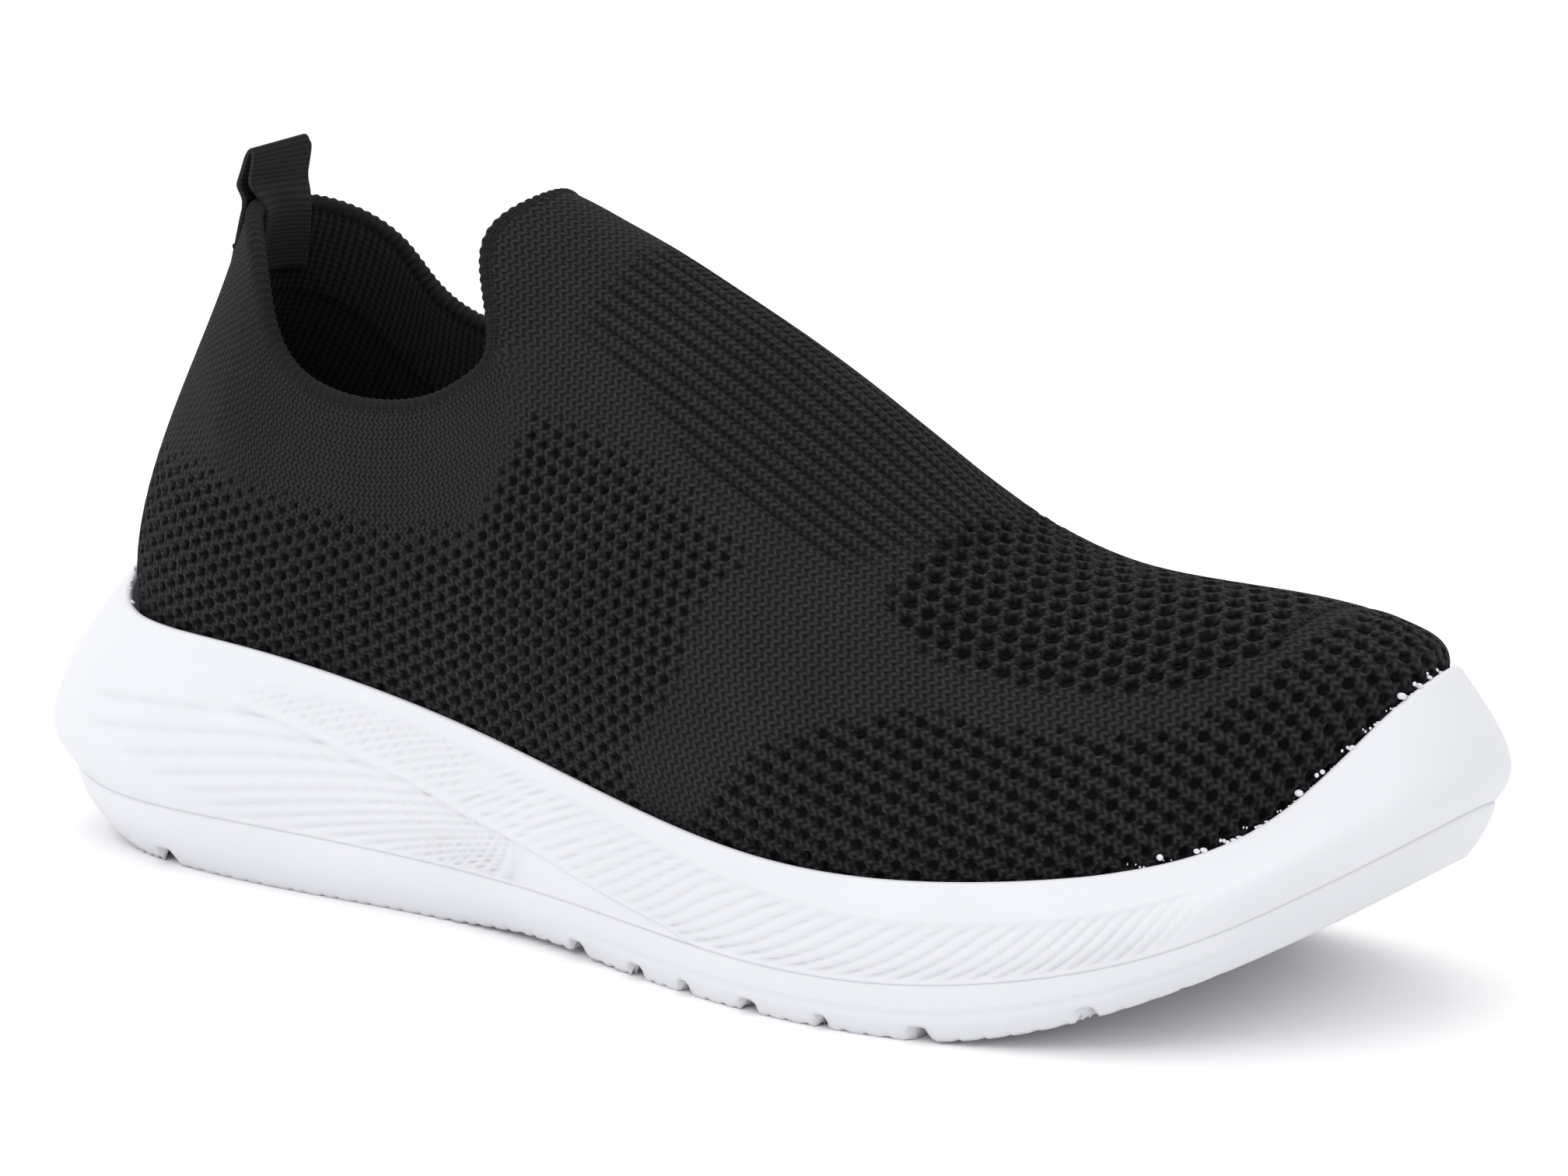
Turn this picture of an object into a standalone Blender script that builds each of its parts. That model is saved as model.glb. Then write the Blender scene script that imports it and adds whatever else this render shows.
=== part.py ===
"""A knitted slip-on running shoe for the right foot, built as separate pieces.

The frame: +X runs to the toe, +Y to the inner side of the foot, +Z up. The origin is on the ground
below the middle of the shoe. Sizes below are in millimetres, with x counted from near the heel, and
place() turns them into metres in the frame.
"""

import math

import bmesh
import bpy
import numpy as np
from mathutils import Matrix, Vector

MM = 0.001
GAP = 0.3                       # room left between pieces that touch
STATIONS = 44                   # places round the shoe at which every section is cut
TOE = STATIONS // 2             # station at the tip of the toe; station 0 is the back of the heel
COLLAR_FRONT = 10               # station where the foot opening meets the tongue
ACROSS = 4                      # faces across a sole, board or instep

# Widest outline of the sole, from the heel along the outer side to the toe and back along the inner
# side: x, y, height of the parting line, height of the widest point, height of the rim,
# inset of the bottom edge, inset of the rim.
SOLE_OUTLINE = (
    (-10.5, -0.5, 17, 23, 56, 14, 20.5),
    (-4, -19.3, 15.5, 22, 50.5, 12.5, 16.5),
    (19, -34.3, 12.5, 21, 45.5, 9, 8.7),
    (58, -38, 12, 21, 44, 5, 3),
    (100, -39, 11, 19, 38, 5, 2),
    (138, -45, 10, 15, 31, 3, 1.5),
    (176, -54, 9, 13, 26, 2, 3),
    (210, -53, 10, 14, 26, 2, 4),
    (241, -43, 16, 20, 30, 3, 5),
    (262, -28, 25, 31, 38, 5, 6),
    (276, -9, 33, 39, 52.5, 6.5, 7),
    (281, 8, 36, 41.5, 58, 8, 8),
    (276, 26, 33, 39, 54, 6.5, 8.5),
    (259, 40, 25, 29, 40, 4, 7),
    (229, 48, 13, 18, 31, 3, 5),
    (193, 50, 9, 14, 28, 2, 3),
    (153, 42, 10, 16, 33, 3, 1.5),
    (113, 35, 11, 20, 42, 5, 2),
    (76, 36, 12, 22, 48, 5, 2),
    (42, 37, 13, 23, 50, 6, 5),
    (14, 30.5, 14.5, 22, 53, 10, 10.7),
    (-5.5, 17.2, 17, 23, 55, 13.5, 18),
)
SPINE = ((37, -1), (233, 3))     # insets of the outline are measured towards this line
HEEL_BEVEL = (26, 35, 9, 1.8)   # the ground rounds up behind x 26, over 35 mm, by 9 mm, to this power
TOE_SPRING = (205, 75, 30, 1.75)
ARCH = (95, 57, 1.2)            # shallow relief under the arch: start, length, height
CUP_FLOOR = (33, 32, 30.5, 28, 24.5, 20.5, 17.5, 17, 22, 33)   # every 30 mm from x 0
CUP_FLOOR_STEP = 30
RIM_EDGE = 1.4                  # thickness of the cup's wall at the rim
CUP_DRAFT = 2.0                 # how far the cup's inner wall leans in on its way down
TREAD_BASE = (5.0, 2.0, 200, 75)   # tread thickness, how much thinner it gets at the toe, from x, over
TREAD_WALL = 3.5
TREAD_GROOVES = ((30, 4), (132, 3), (153, -4), (167, -6), (183, -7), (199, -8), (217, -9),
                 (243, -10))   # x of each cross groove, and its slant in degrees
GROOVE_WIDTH = 2.6
GROOVE_DEPTH = 2.0
GROOVE_CUTTER = (160, 20)       # length across the sole and height of the bar that cuts a groove
LINE_SHARE = 0.35               # the parting line's inset, as a share of the bottom edge's
UPPER_SHARE = 0.35              # the inset halfway from the widest point to the rim, as a share of the rim's
BOTTOM_TURN = (0.72, 1.6)       # how far in and up the side starts to turn under
FLOOR_TURN = 1.0                # how far the tray's floor starts inside its wall
RIM_DROP = 0.2                  # the rim's inner edge lies this much lower
WALL_SHARES = (0, 0.17, 0.33, 0.55, 0.78, 1)   # rings up the cup's side

# Top line of each side of the upper, heel to toe: the foot opening as far as COLLAR_FRONT, then the
# line where the side meets the instep. x, half width, height on the outer side, height on the inner
# side, then the handle that leads down from it (forward, outward, up), then how the wall leaves the
# rim (outward, up).
TOP_LINE = (
    (35, 0, 120, 120, -5, 0, -24, 2.5, 20),
    (39, 11, 119.5, 119.5, -6, 3, -22, 2.5, 20),
    (49.5, 22, 109.5, 111.5, -3, 2, -18, 2, 18),
    (60.5, 26, 91.5, 98, 0, 2, -14, 3, 17),
    (91, 27, 89.5, 93, 2, 4, -12, 4, 18),
    (106, 23.5, 100, 100, 4, 7, -14, 4, 18),
    (134, 18, 102, 102, 2, 12, -14, 3, 18),
    (176, 18, 81, 81, 2, 14, -13, 3, 15),
    (213, 19, 65.5, 66, 2, 15, -8, 3, 12),
    (238, 18, 64, 64.5, 3, 11, -5, 2, 11),
    (254, 12, 64.5, 65, 5, 7, -4, 1, 8),
    (263, 0, 66, 66, 6, 0, -2.5, 1, 3.5),
)
INSTEP_HEIGHT = (127.5, 124.2, 117, 109, 101.4, 92.6, 79.8, 71.8, 70.3, 69.2, 68, 64.5)
INSTEP_FROM, INSTEP_STEP = 100, 15
INSTEP_LEAN = 9                 # how far the middle of the first instep line lies ahead of its ends
TOE_TURN = (170, 95, 7)         # the middle line bends inward ahead of x 170, by 7 mm in 95
# The tongue above the opening, from COLLAR_FRONT up to its top edge:
# x, half width and height of its side, then x and height of its middle.
TONGUE_ROWS = ((100, 18, 112, 109.5, 125.8), (96.5, 14, 120.5, 103.5, 127))
WALL_ROWS = (0.14, 0.29, 0.45, 0.61, 0.8, 1.0)   # rows of faces up the side, as shares of its curve

KNIT = 1.6
STIFFENER = 0.8
STIFFENER_ROOM = 0.3            # more room on each face of a stiffener, where the wall turns
LINING = 0.8
TOP_WALL = KNIT + GAP + LINING  # the wall at the opening, where no stiffener lies
BOARD = 1.6
FOAM = 4.0
COVER = 0.8
INSOLE_INSET = 3.2              # from the board's edge, past the stitching
THREAD_RADIUS = 0.6
OVERLOCK_RADIUS = 1.2
WEBBING = 0.9
TAB_WIDTH = 18
TAB_HEIGHT = 7.4
TAB_SLOT = 1.4
TAB_LEAN = 4                    # degrees that the tab leans forward
TAB_ARC = 5                     # points on each round end of the tab's loop
TAB_ENDS = ((-9, 1.6), (-8, 0.4), (-5, 0), (5, 0), (8, 0.4), (9, 1.6))   # y, and how much lower it is
ANCHOR_OUTER = 9                # length of the anchor's leg outside the heel
ANCHOR_INNER = 16               # and of its leg inside
ANCHOR_CLEAR = 0.75             # room between the outer leg and the knit
ANCHOR_INSIDE = 0.5             # and between the inner leg and the lining, at its top
ANCHOR_LEAN = 1.6               # how much further in the inner leg's lower end lies
ANCHOR_CORNER = (1, 0.6)        # cut corners where the anchor turns, outside and inside
BARTACK = (0.5, 13, 1.4)        # thickness, width and height of the bar of thread
BARTACK_UP = 3                  # above the lower end of the anchor's outer leg
STITCH_INSET = 0.8              # from the board's edge to the line of the stitching
BOARD_ROOM = 0.6                # between the upper's wall and the board's edge
STIFFENER_FADE = 8              # stations from the heel or toe by which the lining lies on the knit
COUNTER_REACH = 5
COUNTER_ROWS = (1, 5)
PUFF_REACH = 4
PUFF_ROWS = (0, 3)


def spline(rows, at, closed=False):
    """Points on the smooth curve through evenly spaced rows, at these row numbers."""
    y = np.asarray(rows, float)
    at = np.asarray(at, float)
    if y.ndim == 1:
        return spline(y[:, None], at.reshape(-1), closed)[:, 0].reshape(at.shape)
    count = len(y)
    if closed:
        system = 4 * np.eye(count) + np.roll(np.eye(count), 1, 0) + np.roll(np.eye(count), -1, 0)
        right = 6 * (np.roll(y, -1, 0) - 2 * y + np.roll(y, 1, 0))
        low = np.floor(at).astype(int) % count
        high = (low + 1) % count
    else:
        system = 4 * np.eye(count) + np.eye(count, k=1) + np.eye(count, k=-1)
        system[0] = system[-1] = 0
        system[0, 0] = system[-1, -1] = 1
        right = np.zeros_like(y)
        right[1:-1] = 6 * (y[2:] - 2 * y[1:-1] + y[:-2])
        low = np.clip(np.floor(at).astype(int), 0, count - 2)
        high = low + 1
    bend = np.linalg.solve(system, right)
    after = (at - np.floor(at) if closed else at - low)[:, None]
    before = 1 - after
    return (before * y[low] + after * y[high]
            + ((before**3 - before) * bend[low] + (after**3 - after) * bend[high]) / 6)


def bottom_height(x):
    """Height of the tread above the ground: flat, with a bevelled heel, an arch and a toe spring."""
    x = np.asarray(x, float)
    start, length, rise, power = HEEL_BEVEL
    heel = rise * np.clip((start - x) / length, 0, None) ** power
    start, length, rise, power = TOE_SPRING
    toe = rise * np.clip((x - start) / length, 0, None) ** power
    start, length, rise = ARCH
    arch = rise * np.sin(np.pi * np.clip((x - start) / length, 0, 1)) ** 2
    return heel + toe + arch


def cup_floor(x):
    """Height of the floor inside the midsole."""
    return spline(CUP_FLOOR, np.clip(np.asarray(x, float) / CUP_FLOOR_STEP, 0, len(CUP_FLOOR) - 1))


def tread_base(x):
    """Thickness of the tread inside its walls."""
    thick, less, start, length = TREAD_BASE
    return thick - less * np.clip((np.asarray(x, float) - start) / length, 0, 1)


def tread_top(x):
    """Height of the tread's upper face, inside its walls."""
    return bottom_height(x) + tread_base(x)


def plug_bottom(x):
    """Height of the foam's underside, where it fits into the tread."""
    return tread_top(x) + GAP


def instep_height(x):
    """Height of the middle of the instep."""
    row = (np.asarray(x, float) - INSTEP_FROM) / INSTEP_STEP
    return spline(INSTEP_HEIGHT, np.clip(row, 0, len(INSTEP_HEIGHT) - 1))


def middle(x):
    """y of the shoe's middle line."""
    start, length, turn = TOE_TURN
    return turn * np.clip((np.asarray(x, float) - start) / length, 0, None) ** 2


class Outline:
    """The sole's widest outline cut at the stations, with the directions that point out of it."""

    def __init__(self, stations=STATIONS):
        rows = len(SOLE_OUTLINE)
        at = np.arange(stations) * rows / stations
        cut = spline(SOLE_OUTLINE, at, closed=True)
        self.plan = cut[:, :2]
        start, end = np.array(SPINE, float)
        run = end - start
        share = np.clip((self.plan - start) @ run / (run @ run), 0, 1)
        self.outward = self.plan - start - share[:, None] * run
        self.outward /= np.linalg.norm(self.outward, axis=1)[:, None]
        self.line, self.wide, self.rim, self.bottom_inset, self.rim_inset = cut[:, 2:].T

    def ring(self, inset, height):
        """A loop of points inset from the outline. height is one value per station, or a function of x."""
        plan = self.plan - self.outward * np.broadcast_to(inset, len(self.plan))[:, None]
        z = height(plan[:, 0]) if callable(height) else np.broadcast_to(height, len(plan))
        return np.c_[plan, z]


OUTLINE = Outline()
MIDDLE_OF_BOX = (OUTLINE.plan.max(0) + OUTLINE.plan.min(0)) / 2


def place(points):
    """Design millimetres to metres in the shoe's frame."""
    return (np.asarray(points, float) - (*MIDDLE_OF_BOX, 0)) * MM


def material(name, color, roughness, metallic=0.0):
    """A plain finish of this colour."""
    found = bpy.data.materials.new(name)
    found.use_nodes = True
    shader = found.node_tree.nodes["Principled BSDF"]
    shader.inputs["Base Color"].default_value = (*color, 1)
    shader.inputs["Roughness"].default_value = roughness
    shader.inputs["Metallic"].default_value = metallic
    return found


def make_object(name, points, faces, finish, sharp=40):
    """A named object from points in design millimetres, with its faces pointing out."""
    bm = bmesh.new()
    corners = [bm.verts.new(p) for p in place(points)]
    for face in faces:
        bm.faces.new([corners[i] for i in face])
    bmesh.ops.recalc_face_normals(bm, faces=bm.faces)
    mesh = bpy.data.meshes.new(name)
    bm.to_mesh(mesh)
    bm.free()
    mesh.shade_smooth()
    mesh.set_sharp_from_angle(angle=math.radians(sharp))
    mesh.materials.append(finish)
    made = bpy.data.objects.new(name, mesh)
    bpy.context.scene.collection.objects.link(made)
    return made


class Loft:
    """Collects rings of points and the faces between them, for one closed body."""

    def __init__(self):
        self.points = []
        self.faces = []

    def add(self, points):
        first = len(self.points)
        self.points.extend(np.asarray(points, float))
        return list(range(first, len(self.points)))

    def band(self, low, high):
        """Faces between two closed rings."""
        for i in range(len(low)):
            j = (i + 1) % len(low)
            self.faces += split_quads([(low[i], low[j], high[j], high[i])])

    def lid(self, ring, height=None):
        """Closes a ring round the shoe with lines from its outer side to its inner side."""
        count = len(ring)
        rows = [[ring[0]]]
        for i in range(1, count // 2):
            a, b = self.points[ring[i]], self.points[ring[-i]]
            line = [a + (b - a) * q / ACROSS for q in range(1, ACROSS)]
            if height is not None:
                line = [np.array([p[0], p[1], height(p[0])]) for p in line]
            rows.append([ring[i], *self.add(line), ring[-i]])
        rows.append([ring[count // 2]])
        for low, high in zip(rows[:-1], rows[1:]):
            for q in range(ACROSS):
                a, b = low[min(q, len(low) - 1)], low[min(q + 1, len(low) - 1)]
                c, d = high[min(q + 1, len(high) - 1)], high[min(q, len(high) - 1)]
                face = [v for n, v in enumerate((a, b, c, d)) if v not in (a, b, c, d)[:n]]
                self.faces.append(face)

    def make(self, name, finish, sharp=40):
        return make_object(name, self.points, self.faces, finish, sharp)


def midsole_section(outline, share):
    """Inset and height of the sole's side wall, at a share of the way from the parting line to the rim."""
    inset = np.stack([outline.bottom_inset * LINE_SHARE, outline.wide * 0,
                      outline.rim_inset * UPPER_SHARE, outline.rim_inset])
    height = np.stack([outline.line, outline.wide, (outline.wide + outline.rim) / 2, outline.rim])
    return spline(inset, [share * 3])[0], spline(height, [share * 3])[0]


def make_outsole(finish):
    """The tread: a shallow tray with its side wall up to the parting line."""
    o = OUTLINE
    loft = Loft()
    side = o.bottom_inset * LINE_SHARE
    edge = loft.add(o.ring(o.bottom_inset, bottom_height))
    in_share, rise = BOTTOM_TURN
    turn = loft.add(o.ring(o.bottom_inset * in_share, bottom_height(o.plan[:, 0]) + rise))
    line = loft.add(o.ring(side, o.line))
    inner_line = loft.add(o.ring(side + TREAD_WALL, o.line))
    inner_floor = loft.add(o.ring(np.maximum(o.bottom_inset, side) + TREAD_WALL + FLOOR_TURN, tread_top))
    for low, high in ((edge, turn), (turn, line), (line, inner_line), (inner_line, inner_floor)):
        loft.band(low, high)
    loft.lid(edge, bottom_height)
    loft.lid(inner_floor, tread_top)
    outsole = loft.make("outsole", finish)
    cut = outsole.modifiers.new("tread_grooves", "BOOLEAN")
    cut.operation = "DIFFERENCE"
    cut.solver = "EXACT"
    cut.object = make_groove_cutter()
    return outsole


def make_groove_cutter():
    """Slanted bars under the sole that cut the flex grooves."""
    bm = bmesh.new()
    for x, slant in TREAD_GROOVES:
        made = bmesh.ops.create_cube(bm, size=1)["verts"]
        length, height = GROOVE_CUTTER
        bmesh.ops.scale(bm, verts=made, vec=(GROOVE_WIDTH * MM, length * MM, height * MM))
        turn = math.radians(slant)
        bmesh.ops.rotate(bm, verts=made, cent=(0, 0, 0), matrix=Matrix.Rotation(turn, 3, "Z"))
        top = float(bottom_height(x)) + GROOVE_DEPTH
        spot = place([x, 0, top])
        bmesh.ops.translate(bm, verts=made, vec=(spot[0], 0, spot[2] - height / 2 * MM))
    mesh = bpy.data.meshes.new("groove_cutter")
    bm.to_mesh(mesh)
    bm.free()
    cutter = bpy.data.objects.new("groove_cutter", mesh)
    cutter.hide_render = True
    cutter.display_type = "WIRE"
    bpy.context.scene.collection.objects.link(cutter)
    return cutter


def make_midsole(finish):
    """The foam cup that the upper stands in, with the toe bumper in one moulding."""
    o = OUTLINE
    loft = Loft()
    side = o.bottom_inset * LINE_SHARE
    plug_inset = np.maximum(o.bottom_inset, side) + TREAD_WALL + FLOOR_TURN + GAP
    plug_ring = loft.add(o.ring(plug_inset, plug_bottom))
    step = loft.add(o.ring(side + TREAD_WALL + GAP, o.line + GAP))
    rings = [plug_ring, step]
    for share in WALL_SHARES:
        inset, height = midsole_section(o, share)
        rings.append(loft.add(o.ring(inset, height + (GAP if share == 0 else 0))))
    rings.append(loft.add(o.ring(o.rim_inset + RIM_EDGE, o.rim - RIM_DROP)))
    rings.append(loft.add(o.ring(o.rim_inset + RIM_EDGE + CUP_DRAFT, cup_floor)))
    for low, high in zip(rings[:-1], rings[1:]):
        loft.band(low, high)
    loft.lid(rings[0], plug_bottom)
    loft.lid(rings[-1], cup_floor)
    return loft.make("midsole", finish)


def wall_thickness():
    """Knit, stiffener and lining together, with the room between them."""
    return KNIT + GAP + STIFFENER + GAP + 2 * STIFFENER_ROOM + LINING


def make_plate(name, inset, low, thick, finish):
    """A flat piece that follows the cup's floor: inset from the outline, low above the floor."""
    o = OUTLINE
    loft = Loft()

    def bottom(x):
        return cup_floor(x) + low

    def top(x):
        return cup_floor(x) + low + thick

    low_ring = loft.add(o.ring(inset, bottom))
    high_ring = loft.add(o.ring(inset, top))
    loft.band(low_ring, high_ring)
    loft.lid(low_ring, bottom)
    loft.lid(high_ring, top)
    return loft.make(name, finish)


def split_quads(faces):
    """Every four-sided face as two triangles on its first diagonal, so that layers match."""
    split = []
    for face in faces:
        split.append(list(face[:3]))
        if len(face) == 4:
            split.append([face[0], face[2], face[3]])
    return split


def open_edges(faces):
    """The edges that only one face uses, in the direction that the face runs."""
    found = {(a, b) for face in faces for a, b in zip(face, [*face[1:], face[0]])}
    return [(a, b) for a, b in found if (b, a) not in found]


class Upper:
    """The outer surface of the upper: a grid of points up each side, the instep and the tongue."""

    def __init__(self, outline=OUTLINE):
        self.outline = outline
        self.points = []
        self.faces = []
        self.build_sides()
        self.build_instep()
        self.points = np.array(self.points)
        self.normals = self.work_out_normals()

    def add(self, point):
        self.points.append(np.asarray(point, float))
        return len(self.points) - 1

    def side_curves(self):
        """Where each station's wall leaves the rim, its two handles, and its top point."""
        o = self.outline
        outer = [list(row[:3]) + list(row[4:]) for row in TOP_LINE]
        inner = [[row[0], row[1], row[3], *row[4:]] for row in TOP_LINE]
        for row in outer:
            row[1], row[4] = -row[1], -row[4]
        rows = outer + inner[-2:0:-1]
        at = np.arange(len(o.plan)) * len(rows) / len(o.plan)
        x, y, z, ahead, out, up, leave_out, leave_up = spline(rows, at, closed=True).T
        foot = o.ring(o.rim_inset + RIM_EDGE + GAP, o.rim)
        top = np.c_[x, y + middle(x), z]
        first = foot + np.c_[o.outward * leave_out[:, None], leave_up]
        second = top + np.c_[ahead, out, up]
        return foot, first, second, top

    def build_sides(self):
        foot, first, second, top = self.side_curves()
        o = self.outline
        hem = o.ring(o.rim_inset + RIM_EDGE + CUP_DRAFT + GAP, cup_floor) + (0, 0, GAP)
        rows = [hem, foot]
        for g in WALL_ROWS:
            a = 1 - g
            rows.append(a**3 * foot + 3 * a * a * g * first + 3 * a * g * g * second + g**3 * top)
        self.grid = [[self.add(p) for p in row] for row in rows]
        count = len(foot)
        for low, high in zip(self.grid[:-1], self.grid[1:]):
            for i in range(count):
                j = (i + 1) % count
                self.faces.append((low[i], low[j], high[j], high[i]))

    def cross_line(self, left, centre, right):
        """Points across the instep from its outer to its inner side, over a crowned middle."""
        a, b, c = (np.asarray(p, float) for p in (left, centre, right))
        lift = 4 / 3 * (b - (a + c) / 2)
        spread = (c - a) / 3
        line = []
        for q in range(1, ACROSS):
            t = q / ACROSS
            s = 1 - t
            line.append(s**3 * a + 3 * s * s * t * (a + spread + lift)
                        + 3 * s * t * t * (c - spread + lift) + t**3 * c)
        return line

    def build_instep(self):
        top = self.grid[-1]
        count = len(top)
        rows = []
        for x, half, z, crown_x, crown_z in TONGUE_ROWS[::-1]:
            left, right = (x, -half, z), (x, half, z)
            line = [left, *self.cross_line(left, (crown_x, 0, crown_z), right), right]
            rows.append([self.add(p) for p in line])
        for i in range(COLLAR_FRONT, TOE):
            a, b = self.points[top[i]], self.points[top[count - i]]
            lean = INSTEP_LEAN * (1 - (i - COLLAR_FRONT) / (TOE - COLLAR_FRONT)) ** 2
            x = (a[0] + b[0]) / 2 + lean
            centre = (x, middle(x), instep_height(x))
            rows.append([top[i], *[self.add(p) for p in self.cross_line(a, centre, b)], top[count - i]])
        rows.append([top[TOE]] * (ACROSS + 1))
        for low, high in zip(rows[:-1], rows[1:]):
            for q in range(ACROSS):
                face = [low[q], low[q + 1], high[q + 1], high[q]]
                face = [v for n, v in enumerate(face) if v not in face[:n]]
                self.faces.append(face[::-1])
        self.instep = rows
        self.opening = self.opening_loop()

    def opening_loop(self):
        """The edge of the foot opening, from the heel along the outer side and over the tongue."""
        top = self.grid[-1]
        rows = self.instep
        tongue = len(TONGUE_ROWS)
        return [*top[: COLLAR_FRONT + 1], *[rows[r][0] for r in range(tongue - 1, -1, -1)],
                *rows[0][1:-1], *[rows[r][-1] for r in range(tongue)],
                *top[len(top) - COLLAR_FRONT:]]

    def work_out_normals(self):
        normals = np.zeros_like(self.points)
        for face in self.faces:
            p = self.points[list(face)]
            middle_point = p.mean(0)
            area = sum(np.cross(p[n] - middle_point, p[(n + 1) % len(p)] - middle_point)
                       for n in range(len(p)))
            normals[list(face)] += area
        normals /= np.linalg.norm(normals, axis=1)[:, None]
        centre = np.array([140, 0, 40])
        if np.sum(normals * (self.points - centre)) < 0:
            normals *= -1
        return normals

    def shell(self, name, outer, inner, finish, faces=None):
        """A closed wall between two depths below the surface, each one value or one per point."""
        faces = self.faces if faces is None else faces
        used = sorted({v for face in faces for v in face})
        number = {v: n for n, v in enumerate(used)}
        depth = [np.broadcast_to(d, len(self.points))[used][:, None] for d in (outer, inner)]
        layers = [self.points[used] - self.normals[used] * d for d in depth]
        skins = split_quads([[number[v] for v in face] for face in faces])
        count = len(used)
        walls = [(b, a, a + count, b + count) for a, b in open_edges(skins)]
        inner_skin = [[v + count for v in face[::-1]] for face in skins]
        return make_object(name, np.concatenate(layers), skins + inner_skin + walls, finish)

    def patch(self, stations, rows):
        """The faces of the side wall between these stations and rows."""
        low, high = rows
        chosen = []
        for i in stations:
            j = (i + 1) % STATIONS
            i %= STATIONS
            for r in range(low, high):
                chosen.append([self.grid[r][i], self.grid[r][j], self.grid[r + 1][j], self.grid[r + 1][i]])
        return chosen

    def lining_depth(self):
        """Depth of the lining at each point: deeper where a stiffener lies behind the knit."""
        depth = np.full(len(self.points), KNIT + GAP)
        extra = STIFFENER + GAP + 2 * STIFFENER_ROOM
        for i in range(STATIONS):
            from_heel = min(i, STATIONS - i)
            from_toe = abs(i - TOE)
            near = np.clip((STIFFENER_FADE - min(from_heel, from_toe)) / 2, 0, 1)
            for r, row in enumerate(self.grid):
                fade = np.clip((len(self.grid) - 1 - r) / 2, 0, 1)
                depth[row[i]] += extra * near * fade
        return depth

    def edge_frames(self):
        """The opening's edge: its points, and the ways along it, out of the wall and up off it."""
        loop = self.opening
        p = self.points[loop]
        along = np.roll(p, -1, 0) - np.roll(p, 1, 0)
        along /= np.linalg.norm(along, axis=1)[:, None]
        out = self.normals[loop]
        out = out - along * np.sum(out * along, 1)[:, None]
        out /= np.linalg.norm(out, axis=1)[:, None]
        up = np.cross(along, out)
        up *= np.sign(up[0, 2])
        return p, along, out, up


def make_overlock(upper, finish):
    """The rolled thread edge that binds the knit and the lining round the opening."""
    p, along, out, up = upper.edge_frames()
    line = p - out * TOP_WALL / 2 + up * (GAP + OVERLOCK_RADIUS)
    return make_thread_loop("collar_overlock", line, OVERLOCK_RADIUS, finish)


def make_thread_loop(name, line, radius, finish):
    """A closed round cord along a loop of points."""
    curve = bpy.data.curves.new(name, "CURVE")
    curve.dimensions = "3D"
    curve.bevel_depth = radius * MM
    curve.bevel_resolution = 1
    run = curve.splines.new("POLY")
    run.points.add(len(line) - 1)
    for point, at in zip(run.points, place(line)):
        point.co = (*at, 1)
    run.use_cyclic_u = True
    run.use_smooth = True
    curve.materials.append(finish)
    made = bpy.data.objects.new(name, curve)
    bpy.context.scene.collection.objects.link(made)
    return made


def make_strobel_stitching(finish):
    """The thread that joins the board's edge to the hem of the upper."""
    line = OUTLINE.ring(board_inset() + STITCH_INSET, cup_floor)
    line[:, 2] += GAP + BOARD + GAP + THREAD_RADIUS
    return make_thread_loop("strobel_stitching", line, THREAD_RADIUS, finish)


def hem_inset():
    """How far inside the outline the knit's outer face stands, at its hem."""
    return OUTLINE.rim_inset + RIM_EDGE + CUP_DRAFT + GAP


def board_inset():
    """How far inside the outline the board's edge lies."""
    return hem_inset() + wall_thickness() + BOARD_ROOM


def heel_frame(upper, y):
    """The opening's edge at the back of the heel, at this y: point, out of the wall, and up off it."""
    p, _, out, up = upper.edge_frames()
    near = [-2, -1, 0, 1, 2]
    order = np.argsort(p[near, 1])
    ys = p[near, 1][order]

    def pick(values):
        return np.array([np.interp(y, ys, values[near][order][:, n]) for n in range(3)])

    return pick(p), pick(out), pick(up)


def anchor_top():
    """Height of the anchor's top above the knit's edge."""
    return GAP + 2 * OVERLOCK_RADIUS + GAP + WEBBING


def make_tab_anchor(upper, finish):
    """The webbing tail sewn over the heel's edge, one leg outside and one inside."""
    over = anchor_top()
    outer_face, inner_face = ANCHOR_CLEAR, -(TOP_WALL + ANCHOR_INSIDE)
    lean = ANCHOR_LEAN
    far, near = ANCHOR_CORNER
    section = [
        (outer_face, -ANCHOR_OUTER), (outer_face + WEBBING, -ANCHOR_OUTER),
        (outer_face + WEBBING, over - far), (outer_face + WEBBING - far, over),
        (inner_face - WEBBING + far, over), (inner_face - WEBBING, over - far),
        (inner_face - WEBBING - lean, -ANCHOR_INNER), (inner_face - lean, -ANCHOR_INNER),
        (inner_face, over - WEBBING - near), (inner_face + near, over - WEBBING),
        (outer_face - near, over - WEBBING), (outer_face, over - WEBBING - near),
    ]
    loft = Loft()
    rings = []
    for y in np.linspace(-TAB_WIDTH / 2, TAB_WIDTH / 2, 5):
        spot, out, up = heel_frame(upper, y)
        rings.append(loft.add([spot + out * a + up * b for a, b in section]))
    for low, high in zip(rings[:-1], rings[1:]):
        loft.band(low, high)
    for ring in (rings[0], rings[-1]):
        cap_section(loft, ring)
    return loft.make("tab_anchor", finish, sharp=30)


def cap_section(loft, ring):
    """Closes the U-shaped end of the anchor, leg by leg."""
    for quad in ((0, 1, 2, 11), (11, 2, 3, 10), (10, 3, 4, 9), (9, 4, 5, 8), (8, 5, 6, 7)):
        loft.faces.append([ring[n] for n in quad])


def tab_axis(upper):
    """The pull tab's hinge line: a point on it, above the anchor."""
    spot, out, up = heel_frame(upper, 0)
    half = TAB_SLOT / 2 + WEBBING
    return spot - out * TOP_WALL / 2 + up * (anchor_top() + 2 * GAP + half)


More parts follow.
